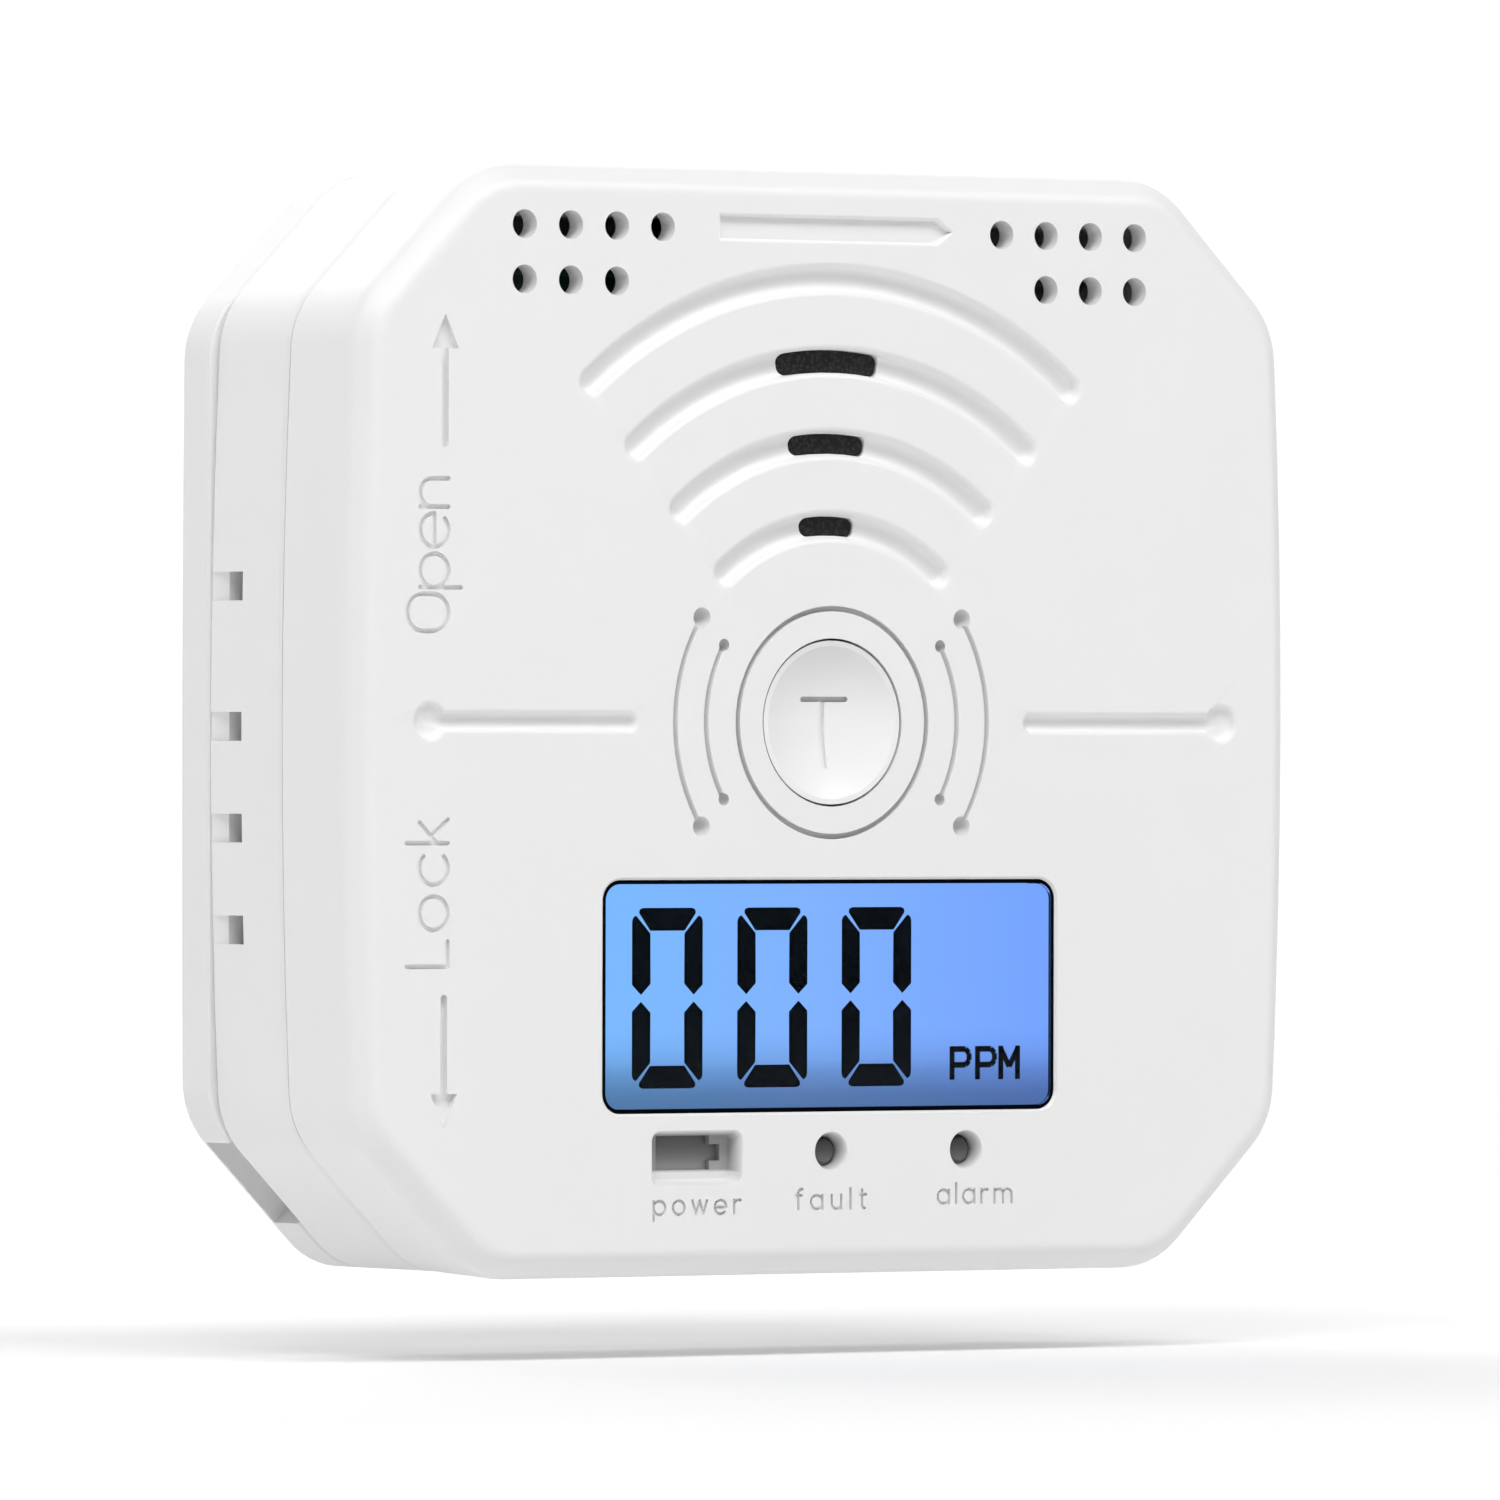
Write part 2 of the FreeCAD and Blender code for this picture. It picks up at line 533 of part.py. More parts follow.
def lettering(text, start_x, start_z, length, unit, stroke, upright=True, depth=None):
    """Cutters for a word of a given length: it runs along X, or up along Z when it isn't upright."""
    reach = size("letter_depth") if depth is None else depth
    widths = [LETTERS[letter][0] for letter in text]
    spacing = (length / unit - sum(widths)) / max(len(text) - 1, 1)
    turn = 0 if upright else 90

    def place(u, v):
        if upright:
            return start_x + u * unit, start_z + v * unit
        return start_x - v * unit, start_z + u * unit

    cutters = []
    pen = 0.0
    for letter, width in zip(text, widths):
        strokes = []
        for kind, *numbers in LETTERS[letter][1]:
            if kind == "line":
                from_u, from_v, to_u, to_v = numbers
                outline = straight_slot(*place(pen + from_u, from_v), *place(pen + to_u, to_v))
            else:
                centre_u, centre_v, radius, middle, half_angle = numbers
                x, z = place(pen + centre_u, centre_v)
                outline = arc_slot(radius * unit, middle + turn, half_angle, x, z)
            strokes.append(straight_cut(outline, stroke, reach))
        cutters.append(strokes[0].multiFuse(strokes[1:]) if len(strokes) > 1 else strokes[0])
        pen += width + spacing
    return cutters


# Front cover

def bevel_sections():
    """The front edge: a bevel at 45 degrees whose two edges are rounded."""
    sections = []
    for degrees in (0, 15, 30, 45):
        depth = f"bevel_round * (1 - cos({degrees}))"
        sections.append(drafted(depth, f"bevel + bevel_round * (tan(22.5) - sin({degrees}))"))
    for degrees in (45, 30, 15, 0):
        depth = f"bevel + bevel_round * (tan(22.5) - sin({degrees}))"
        sections.append(drafted(depth, f"bevel_round * (1 - cos({degrees}))"))
    return sections


def posts_in_rows(name, radius, front, back, rows):
    """Round bars in a left and a right column, in a lower and an upper row."""
    return [rod(f"{name}_{column}_{row}", radius, front, back, f"{sign} * case_screw_x", z)
            for column, sign in (("left", -1), ("right", 1)) for row, z in zip(("lower", "upper"), rows)]


def screw_posts(name, radius, front, back):
    """Round bars at the four case screws."""
    return posts_in_rows(name, radius, front, back, ("-1 * case_screw_z", "case_screw_z"))


def board_posts(name, radius, front, back):
    """Round bars at the four board screws."""
    return posts_in_rows(name, radius, front, back, ("-1 * board_screw_lower", "board_screw_upper"))


def vent_holes():
    """Two blocks of small round holes near the upper edge: a row of four above a row of three."""
    holes = []
    for side in (-1, 1):
        for row, first in ((0, 0), (1, 1)):
            for column in range(first, 4):
                holes.append(rod(
                    f"vent_{'left' if side < 0 else 'right'}_{row}_{column}", "vent_radius", "-1 * weld",
                    "face_wall + weld", f"{side} * (vent_inner_x + {column} * vent_pitch)",
                    f"vent_row_z - {row} * vent_pitch"))
    return collected("vent_holes", holes)


def sound_slot(radius, half_length, half_width):
    """A slot through the face along an arc above the button, with rounded corners."""
    half_angle = math.degrees(half_length / radius)
    outer = radius + half_width
    inner = radius - half_width
    corners = [polar(reach, 90 + lean, -OVERCUT) for reach, lean in (
        (outer, -half_angle), (outer, half_angle), (inner, half_angle), (inner, -half_angle))]
    outline = Part.Wire([
        arc_edge((corners[0], polar(outer, 90, -OVERCUT), corners[1])),
        Part.LineSegment(corners[1], corners[2]).toShape(),
        arc_edge((corners[2], polar(inner, 90, -OVERCUT), corners[3])),
        Part.LineSegment(corners[3], corners[0]).toShape(),
    ])
    wall = size("face_wall")
    solid = Part.Face(outline).extrude(Vector(0, wall + 2 * OVERCUT, 0))
    through_edges = [edge for edge in solid.Edges if edge.BoundBox.YLength > wall]
    return solid.makeFillet(size("sound_slot_round"), through_edges)


def sound_slots(name, gap=0.0):
    """The slots at the top of the inner three arcs, or what fills them but for a gap."""
    return shaped(name, [
        sound_slot(size("arc_first_radius") + number * size("arc_pitch"), half_length - gap, half_width - gap)
        for number, (half_length, half_width) in enumerate(SOUND_SLOTS)])


def window_bevel():
    """A small bevel round the display's window."""
    outline = rounded_outline(size("window_half_width"), size("window_half_height"), size("window_round"),
                              0.0, size("window_centre_z"))
    bevel = size("window_bevel")
    return shaped("window_edge", [stepped(outline, [(-OVERCUT, bevel), (0.0, bevel), (bevel, 0.0)])])


def power_recess():
    """A recess with sloping walls and a battery-shaped window in its floor."""
    outline = rounded_outline(size("power_half_width"), size("power_half_height"), size("power_round"),
                              size("power_centre_x"), size("power_centre_z"))
    depth = size("power_depth")
    slope = size("power_slope")
    pocket = stepped(outline, [(-OVERCUT, 0.0), (0.0, 0.0), (0.12 * depth, -0.3 * slope), (depth, -slope)])
    through = size("face_wall") + OVERCUT
    opening_half = size("power_opening_half")
    left = size("power_opening_left")
    window = Part.makeBox(size("power_opening_right") - left, through, 2 * opening_half,
                          at(left, size("light_z") - opening_half, 0))
    nub_half = size("power_nub_half")
    nub = Part.makeBox(size("power_nub_right") - left, through, 2 * nub_half,
                       at(left, size("light_z") - nub_half, 0))
    return shaped("power_recess", [pocket.multiFuse([window, nub])])


def light_holes():
    """Funnel-shaped holes over the fault light and the alarm light."""
    flare = size("light_funnel")
    depth = size("light_funnel_depth")
    steps = [(-OVERCUT, flare), (0.0, flare), (0.1 * depth, 0.8 * flare), (0.5 * depth, 0.5 * flare),
             (depth, 0.0), (size("face_wall") + OVERCUT, 0.0)]
    return shaped("light_holes", [
        stepped(circle_outline(size("light_hole_radius"), x, size("light_z")), steps)
        for x in (0.0, size("light_pitch"))])


def wide_grooves():
    """Four concentric arcs above the button, and a rule on each side of it that ends in a dimple."""
    grooves = []
    for number in range(ARC_COUNT):
        radius = size("arc_first_radius") + number * size("arc_pitch")
        outline = arc_slot(radius, 90, size("arc_half_angle"))
        grooves.append(soft_groove(outline, size("arc_half_width"), size("arc_depth"), size("arc_shoulder")))
    for side in (-1, 1):
        outer = side * size("rule_outer_x")
        outline = straight_slot(side * size("rule_inner_x"), 0, outer, 0)
        rule = soft_groove(outline, size("rule_half_width"), size("rule_depth"), size("rule_shoulder"))
        shoulder = size("rule_shoulder")
        end = soft_groove(circle_outline(0.0, outer, 0.0), size("rule_dimple") - shoulder,
                          size("rule_dimple_depth"), shoulder)
        grooves.append(rule.fuse(end))
    return shaped("wide_grooves", grooves)


def button_ring():
    """A narrow ring round the button."""
    half_width = size("ring_half_width")
    depth = size("fine_depth")
    outside = stepped(circle_outline(size("ring_radius")), [(-OVERCUT, half_width), (depth, half_width)])
    inside_steps = [(-2 * OVERCUT, -half_width), (depth + OVERCUT, -half_width)]
    return outside.cut(stepped(circle_outline(size("ring_radius")), inside_steps))


def wave(middle, radius, half_angle, end_radius):
    """A fine groove along an arc round the button, with a dimple at each end."""
    outline = arc_slot(radius, middle, half_angle)
    groove = soft_groove(outline, size("wave_half_width"), size("fine_depth"), size("fine_shoulder"))
    ends = [math.radians(middle + side * half_angle) for side in (-1, 1)]
    return groove.multiFuse([
        dimple(radius * math.cos(angle), radius * math.sin(angle), end_radius, size("wave_dimple_depth"))
        for angle in ends])


def arrow(side):
    """An arrow at the left that points up or down."""
    x = size("arrow_x")
    tip = side * size("arrow_tip_z")
    barb = tip - side * size("arrow_head")
    half_head = size("arrow_half_head")
    line = straight_slot(x, side * size("arrow_tail_z"), x, barb)
    shaft = straight_cut(line, size("arrow_half_width"), size("fine_depth"))
    return shaft.fuse(prism(((x - half_head, barb), (x + half_head, barb), (x, tip)), size("fine_depth")))


def fine_grooves():
    """The ring and the waves round the button, the arrows and the pencil-shaped bar."""
    grooves = [button_ring(), arrow(-1), arrow(1), pencil_bar()]
    for middle in (0, 180):
        grooves.append(wave(
            middle, size("outer_wave_radius"), size("outer_wave_angle"), size("wave_dimple")))
        grooves.append(wave(
            middle, size("inner_wave_radius"), size("inner_wave_angle"), size("inner_wave_dimple")))
    return shaped("fine_grooves", grooves)


def pencil_bar():
    """A shallow bar with sloping walls, whose right end comes to a point."""
    centre = size("bar_centre_z")

    def outline(spread, depth):
        left = size("bar_left") - spread
        half = size("bar_half_width") + spread
        right = size("bar_right") + spread
        shoulder = right - size("bar_point")
        corners = [(left, -half), (shoulder, -half), (right, 0), (shoulder, half), (left, half)]
        points = [at(x, centre + z, depth) for x, z in corners]
        return Part.makePolygon(points + points[:1])

    slope = size("bar_slope")
    depth = size("bar_depth")
    return stepped(outline, [(-OVERCUT, slope), (0.0, slope), (0.15 * depth, 0.45 * slope),
                             (0.5 * depth, 0.12 * slope), (depth, 0.0)])


def face_lettering():
    """Plain words beside the arrows and under the lights."""
    letters = []
    for word, start_z, length in SIDE_WORDS:
        letters += lettering(word, size("side_base_x"), start_z, length, size("side_letter_height"),
                             size("side_letter_stroke"), upright=False)
    for word, start_x, start_z, length in LIGHT_WORDS:
        letters += lettering(word, start_x, start_z, length, size("label_height"), size("label_stroke"))
    return shaped("face_lettering", letters)


def make_front_cover():
    body = doc.addObject("PartDesign::Body", "front_blank")
    case_loft(body, "front_outside", "AdditiveLoft", bevel_sections() + [
        drafted("parting - edge_round"), drafted("parting", "edge_round / 2")])
    case_loft(body, "front_inside", "SubtractiveLoft", [
        drafted("face_wall", "side_wall"), drafted("parting + weld", "side_wall")])
    posts = screw_posts("case_boss", "case_boss_radius", "face_wall - weld", "parting - slip")
    posts += board_posts("board_boss", "board_boss_radius", "face_wall - weld", "board_front")
    pilots = screw_posts("case_pilot", "case_pilot_radius", "case_pilot_front", "parting + weld")
    pilots += board_posts("board_pilot", "board_pilot_radius", "board_shank_front - weld",
                          "board_front + weld")
    window = rounded_slab("window_opening", "window_half_width", "window_half_height", "window_round",
                          "window_centre_z", "-1 * weld", "face_wall + weld")
    button_hole = rod("button_hole", "button_radius + button_gap", "-1 * weld", "face_wall + weld")
    solid = joined("front_solid", [body] + posts)
    openings = collected("front_openings", pilots + [window, button_hole])
    result = cut("front_cover", solid, openings, window_bevel(), vent_holes(), sound_slots("sound_slots"),
                 power_recess(), light_holes(), wide_grooves(), fine_grooves(), face_lettering())
    piece(result, "front_cover")


# Rear cover

def bay_block(name, margin, front, back):
    """A box that is larger than the battery bay by a margin."""
    half_length = f"bay_half_length + {margin}"
    half_height = f"bay_half_height + {margin}"
    return block(name, f"-1 * ({half_length})", half_length, f"-1 * ({half_height})", half_height, front,
                 back)


def bayonet_openings():
    """In the rear wall: four slots that the hooks' posts turn in, each with a wide entry at its far end."""
    slots = []
    half = size("hook_angle") / 2 + size("hook_play_angle")
    for number in range(4):
        middle = 90 * number
        slots.append(sector(
            f"post_slot_{number}", "hook_inner - hook_play", "hook_outer + hook_play", middle - half,
            "hook_angle + 2 * hook_play_angle + twist_angle", "back_wall - weld", "back_face + weld"))
        slots.append(sector(
            f"hook_entry_{number}", "hook_inner - hook_play", "hook_tip + hook_play",
            middle + size("twist_angle") - half, "hook_angle + 2 * hook_play_angle",
            "back_wall - weld", "back_face + weld"))
    return joined("bayonet_openings", slots)


def air_inlets():
    """Ramps cut into the sides, which deepen towards the front and end in a hole into the case."""
    cutters = []
    surface = size("inlet_surface")
    outside = size("side_middle") + OVERCUT
    half = size("inlet_height") / 2
    front = size("inlet_front")
    back = size("back_face")
    hole_back = size("inlet_hole_back")
    corners = ((surface, back), (outside, back), (outside, front), (surface - size("inlet_depth"), front),
               (surface - size("inlet_depth"), hole_back), (surface - size("inlet_ramp_depth"), hole_back))
    for side in (-1, 1):
        for middle in INLET_HEIGHTS:
            points = [at(side * x, middle - half, depth) for x, depth in corners]
            face = Part.Face(Part.makePolygon(points + points[:1]))
            cutters.append(face.extrude(Vector(0, 0, 2 * half)))
    return shaped("air_inlets", cutters)


def make_rear_cover():
    body = doc.addObject("PartDesign::Body", "rear_blank")
    case_loft(body, "rear_outside", "AdditiveLoft", [
        upright("parting + parting_gap", "edge_round / 2"), upright("parting + parting_gap + edge_round"),
        upright("back_face - edge_round"), upright("back_face", "edge_round")])
    case_loft(body, "rear_inside", "SubtractiveLoft", [
        upright("parting + parting_gap - weld", "side_wall"), upright("back_wall", "side_wall")])
    lip = doc.addObject("PartDesign::Body", "rear_lip")
    lip_root = "parting + parting_gap + side_wall"
    case_loft(lip, "lip_outside", "AdditiveLoft", [
        drafted("lip_front", "side_wall + slip"), drafted(lip_root, "side_wall + slip")])
    case_loft(lip, "lip_inside", "SubtractiveLoft", [
        drafted("lip_front - weld", "side_wall + slip + lip_wall"),
        drafted(f"{lip_root} + weld", "side_wall + slip + lip_wall")])
    collar = doc.addObject("PartDesign::Body", "rear_collar")
    case_loft(collar, "collar_outside", "AdditiveLoft", [
        drafted("parting + parting_gap", "side_wall / 2"), drafted(lip_root, "side_wall / 2")])
    case_loft(collar, "collar_inside", "SubtractiveLoft", [
        drafted("parting + parting_gap - weld", "side_wall + slip + lip_wall"),
        drafted(f"{lip_root} + weld", "side_wall + slip + lip_wall")])
    reliefs = screw_posts("lip_relief", "case_boss_radius + slip", "lip_front - weld",
                          "parting + parting_gap")
    lip_ring = cut("lip_ring", lip, collected("lip_reliefs", reliefs))
    posts = screw_posts("rear_boss", "case_boss_radius", "parting + parting_gap", "back_face - weld")
    bay = bay_block("bay_outside", "bay_wall", "bay_floor_front", "back_face")
    solid = joined("rear_solid", [body, lip_ring, collar, bay] + posts)
    holes = screw_posts("rear_clearance", "case_clear_radius", "parting", "back_face + weld")
    sinks = screw_posts("rear_sink", "case_sink_radius", "case_head_front", "back_face + weld")
    screw_holes = [joined(f"rear_screw_hole_{number}", pair)
                   for number, pair in enumerate(zip(holes, sinks))]
    bay_space = bay_block("bay_space", "0", "bay_floor_back", "back_face + weld")
    notches = []
    for name, sign in (("red", -1), ("black", 1)):
        x = f"{sign} * (bay_half_length + bay_wall / 2)"
        z = f"{-sign} * lead_run_z"
        notches.append(block(
            f"lead_notch_{name}", f"{x} - bay_wall", f"{x} + bay_wall", f"{z} - lead_notch",
            f"{z} + lead_notch", "lead_depth - lead_notch", "back_wall"))
    openings = collected("rear_openings", screw_holes)
    bay_cut = joined("bay_cut", [bay_space] + notches)
    piece(cut("rear_cover", solid, openings, bay_cut, bayonet_openings(), air_inlets()), "rear_cover")


# Mounting plate

def make_mounting_plate():
    body = doc.addObject("PartDesign::Body", "plate_blank")
    case_loft(body, "plate_outside", "AdditiveLoft", [
        ("plate_front", "plate_inset + edge_round / 2"), ("plate_front + edge_round / 2", "plate_inset"),
        ("case_depth - edge_round", "plate_inset"), ("case_depth", "plate_inset + edge_round")], "plate_bow")
    case_loft(body, "plate_inside", "SubtractiveLoft", [
        ("plate_front - weld", "plate_inset + plate_rim"), ("plate_floor", "plate_inset + plate_rim")],
        "plate_bow")
    hooks = []
    for number in range(4):
        start = 90 * number - size("hook_angle") / 2
        hooks.append(sector(f"hook_post_{number}", "hook_inner", "hook_outer", start, "hook_angle",
                            "hook_front", "plate_floor + weld"))
        hooks.append(sector(f"hook_lip_{number}", "hook_outer - weld", "hook_tip", start, "hook_angle",
                            "hook_front", "hook_step"))
    notches = []
    reach = size("notch_reach")
    half = size("notch_length") / 2
    front = size("plate_front") - size("weld")
    shift = size("notch_shift")
    for side, angle, start in (("left", 225, -half - shift), ("right", 315, shift - half)):
        notch = doc.addObject("Part::Box", f"plate_notch_{side}")
        bind(notch, {"Length": "side_wall * 2", "Width": "notch_back - plate_front + weld",
                     "Height": "notch_length"})
        turn = Rotation(Vector(0, 1, 0), -angle)
        corner = turn.multVec(Vector(reach, 0, start))
        notch.Placement = Placement(at(corner.x, corner.z, front), turn)
        notches.append(notch)
    straight = size("wall_slot_half") - size("wall_slot_radius")
    floor = size("plate_floor")
    radius = size("wall_slot_radius")
    steps = [(floor - OVERCUT, size("wall_head_radius")), (floor, size("wall_head_radius")),
             (floor + size("wall_head_depth"), radius), (size("case_depth") + OVERCUT, radius)]
    slots = [stepped(straight_slot(x - straight, 0, x + straight, 0), steps)
             for x in (-size("wall_screw_x"), size("wall_screw_x"))]
    solid = joined("plate_solid", [body] + hooks)
    piece(cut("mounting_plate", solid, collected("plate_notches", notches), shaped("wall_slots", slots)),
          "mounting_plate")


# Display

def window_slab(name, inset, front, back):
    """A plate of the display window's outline, moved inwards by an inset."""
    return rounded_slab(name, f"window_half_width - ({inset})", f"window_half_height - ({inset})",
                        f"window_round - ({inset})", "window_centre_z", front, back)


def make_display():
    ring = window_slab("gasket_outside", "lens_play", "gasket_front", "glass_front")
    ring_hole = window_slab("gasket_inside", "gasket_width", "gasket_front - weld", "glass_front + weld")
    piece(cut("display_gasket", ring, ring_hole), "display_gasket")
    lens = window_slab("display_window", "gasket_width + lens_play", "lens_front", "lens_back")
    piece(lens, "display_window")
    front_sheet = window_slab("front_glass", "gasket_width + 2 * lens_play", "cell_front",
                              "glass_front + weld")
    rear_sheet = block("rear_glass", "-1 * glass_half_width", "glass_half_width", "glass_bottom",
                       "glass_top", "glass_front", "glass_back")
    piece(joined("glass_cell", [front_sheet, rear_sheet]), "lcd_panel")
    light = block("light_plate", "-1 * glass_half_width", "glass_half_width", "glass_bottom", "glass_top",
                  "light_front", "light_back")
    piece(light, "lcd_backlight")
    pins = []
    for number in range(-8, 9):
        x = f"{number} * display_pin_pitch"
        pins.append(block(
            f"display_pin_{number + 8}", f"{x} - display_pin_width / 2", f"{x} + display_pin_width / 2",
            "glass_top + weld / 2", "glass_top + weld / 2 + display_pin_width", "glass_front + weld",
            "board_front"))
    piece(collected("lcd_pins", pins), "lcd_pins")


# Circuit board

def make_circuit_board():
    sheet_blank = block("board_blank", "-1 * board_half_width", "board_half_width", "-1 * board_half_height",
                        "board_half_height", "board_front", "board_back")
    diamond = doc.addObject("Part::Box", "board_diamond")
    side = "board_corner_sum * sqrt(2)"
    bind(diamond, {"Length": side, "Width": "board_back - board_front", "Height": side,
                   "Placement.Base.y": "board_front - case_depth",
                   "Placement.Base.z": "-1 * board_corner_sum"})
    diamond.Placement = Placement(diamond.Placement.Base, Rotation(Vector(0, 1, 0), -45))
    octagon = doc.addObject("Part::Common", "board_octagon")
    octagon.Base = sheet_blank
    octagon.Tool = diamond
    holes = board_posts("board_hole", "board_hole_radius", "board_front - weld", "board_back + weld")
    holes.append(rod("buzzer_cutout", "board_cutout_radius", "board_front - weld", "board_back + weld", "0",
                     "buzzer_z"))
    piece(cut("circuit_board", octagon, collected("board_holes", holes)), "circuit_board")


def make_board_parts():
    body = block("chip_body", "chip_x - chip_half", "chip_x + chip_half", "chip_z - chip_half",
                 "chip_z + chip_half", "chip_front", "chip_back")
    legs = []
    for number in range(-3, 4):
        offset = f"{number} * chip_leg_pitch"
        legs.append(block(
            f"chip_legs_across_{number + 3}", "chip_x - chip_half - chip_leg_reach",
            "chip_x + chip_half + chip_leg_reach", f"chip_z + {offset} - chip_leg_width / 2",
            f"chip_z + {offset} + chip_leg_width / 2", "board_back", "chip_front + weld"))
        legs.append(block(
            f"chip_legs_up_{number + 3}", f"chip_x + {offset} - chip_leg_width / 2",
            f"chip_x + {offset} + chip_leg_width / 2", "chip_z - chip_half - chip_leg_reach",
            "chip_z + chip_half + chip_leg_reach", "board_back", "chip_front + weld"))
    piece(joined("microcontroller", [body] + legs), "microcontroller")
    cans = [rod(f"capacitor_{number}", "capacitor_radius", "board_back", "capacitor_back", str(x), str(z))
            for number, (x, z) in enumerate(CAPACITOR_PLACES)]
    piece(collected("capacitors", cans), "capacitors")
    chips = []
    for number in range(1, 7):
        x = f"-1 * {number} * resistor_pitch"
        chips.append(block(
            f"resistor_{number}", x, f"{x} + resistor_width", "resistor_row_z",
            "resistor_row_z + resistor_height", "board_back", "board_back + resistor_depth"))
    piece(collected("chip_resistors", chips), "chip_resistors")


def make_sensor():
    can = rod("sensor_drum", "sensor_radius", "sensor_can_front", "sensor_can_back", "sensor_x", "sensor_z")
    piece(can, "co_sensor_can")
    cap = rod("sensor_lid", "sensor_cap_radius", "sensor_can_back", "sensor_cap_back", "sensor_x",
              "sensor_z")

    def three(name, radius, front, back, circle, first_angle):
        """Three round bars spaced evenly on a circle about the sensor's middle."""
        return [rod(f"{name}_{number}", radius, front, back,
                    f"sensor_x + {circle} * cos({first_angle + 120 * number})",
                    f"sensor_z + {circle} * sin({first_angle + 120 * number})") for number in range(3)]

    ports = three("sensor_port", "sensor_port_radius", "sensor_can_back - weld", "sensor_cap_back + weld",
                  "sensor_port_circle", 0)
    piece(cut("co_sensor_cap", cap, collected("sensor_ports", ports)), "co_sensor_cap")
    pins = three("sensor_pin", "sensor_pin_radius", "board_back", "sensor_can_front",
                 "sensor_pin_circle", 30)
    piece(collected("co_sensor_pins", pins), "co_sensor_pins")


def screen_pads():
    """The raised parts of the sound screen, which stand in the sound slots."""
    gap = size("pad_gap")
    pads = sound_slots("screen_slots", gap)
    front = rod("pad_span", "side_middle", "pad_front", "face_wall + 2 * screen_play")
    common = doc.addObject("Part::Common", "screen_pads")
    common.Base = front
    common.Tool = pads
    return common


def make_buzzer():
    drum = rod("buzzer_drum", "buzzer_radius", "buzzer_front", "buzzer_back", "0", "buzzer_z")
    ears = block("buzzer_ears", "-1 * buzzer_ear_reach", "buzzer_ear_reach",
                 "buzzer_z - buzzer_ear_width / 2", "buzzer_z + buzzer_ear_width / 2",
                 "board_front - buzzer_ear_depth", "board_front")
    upper = rod("buzzer_upper_room", "buzzer_radius - buzzer_ledge", "buzzer_front + buzzer_wall",
                "disc_front + weld", "0", "buzzer_z")
    lower = rod("buzzer_lower_room", "buzzer_radius - buzzer_wall", "disc_front", "buzzer_back + weld", "0",
                "buzzer_z")
    port = rod("buzzer_port", "buzzer_port_radius", "buzzer_front - weld", "disc_front", "0", "buzzer_z")
    room = joined("buzzer_room", [upper, lower, port])
    piece(cut("buzzer_housing", joined("buzzer_solid", [drum, ears]), room), "buzzer_housing")
    brass = rod("buzzer_brass", "disc_radius", "disc_front", "disc_front + disc_thickness", "0", "buzzer_z")
    ceramic = rod("buzzer_ceramic", "ceramic_radius", "disc_front + disc_thickness",
                  "disc_front + disc_thickness + ceramic_thickness", "0", "buzzer_z")
    piece(joined("buzzer_disc", [brass, ceramic]), "buzzer_disc")
    base = rod("buzzer_lid", "buzzer_base_radius", "buzzer_base_front", "buzzer_back", "0", "buzzer_z")
    piece(base, "buzzer_base")
    screen = rod("screen_disc", "screen_radius", "face_wall + screen_play", "buzzer_front - screen_play",
                 "0", "buzzer_z")
    piece(joined("sound_screen", [screen, screen_pads()]), "sound_screen")


def make_lights():
    leads = []
    tips = ("power_lens_tip", "lens_tip", "lens_tip")
    for number, (label, tip) in enumerate(zip(("power_led", "fault_led", "alarm_led"), tips)):
        x = f"{number - 1} * light_pitch"
        nose = doc.addObject("Part::Cone", f"{label}_nose")
        nose.Placement = Placement(Vector(), Rotation(Vector(1, 0, 0), -90))
        bind(nose, {"Radius1": "lens_radius - lens_nose", "Radius2": "lens_radius", "Height": "lens_nose",
                    "Placement.Base.x": x, "Placement.Base.y": f"{tip} - case_depth",
                    "Placement.Base.z": "light_z"})
        barrel = rod(f"{label}_barrel", "lens_radius", f"{tip} + lens_nose", "light_base", x, "light_z")
        flange = rod(f"{label}_flange", "flange_radius", "flange_front", "light_base", x, "light_z")
        piece(joined(label, [nose, barrel, flange]), label)
        for sign in (-1, 1):
            middle = f"{x} + {sign} * lead_spacing / 2"
            leads.append(block(
                f"{label}_lead_{'a' if sign < 0 else 'b'}", f"{middle} - lead_half", f"{middle} + lead_half",
                "light_z - lead_half", "light_z + lead_half", "light_base", "board_front"))
    piece(collected("led_leads", leads), "led_leads")
    half_height = "power_opening_half + power_window_margin"
    window = block("power_lens", "power_opening_left - power_window_margin",
                   "power_nub_right + power_window_margin", f"light_z - ({half_height})",
                   f"light_z + {half_height}", "face_wall + screen_play", "power_window_back")
    piece(window, "power_window")


# Test button and switch

def make_test_button():
    cap = rod("button_cap", "button_radius", "button_front", "button_flange_back")
    flange = rod("button_flange", "button_flange_radius", "button_flange_front", "button_flange_back")
    ball = "(dish_radius ^ 2 + dish_depth ^ 2) / (2 * dish_depth)"
    dish = doc.addObject("Part::Sphere", "button_dish")
    bind(dish, {"Radius": ball, "Placement.Base.y": f"button_front + dish_depth - {ball} - case_depth"})
    unit = size("button_letter_height")
    width = LETTERS["T"][0] * unit
    base = -CAPITAL / 2 * unit - size("button_letter_drop")
    letter_depth = size("button_letter_depth")
    letter = lettering("T", -width / 2, base, width, unit, size("button_letter_stroke"),
                       depth=size("button_flange_back"))[0]
    radius = (size("dish_radius") ** 2 + size("dish_depth") ** 2) / (2 * size("dish_depth"))
    middle = at(0, 0, size("button_front") + size("dish_depth") - radius)
    mark = [letter.common(Part.makeSphere(radius + letter_depth, middle))]
    solid = joined("button_solid", [cap, flange])
    piece(cut("test_button", solid, dish, shaped("button_mark", mark)), "test_button")


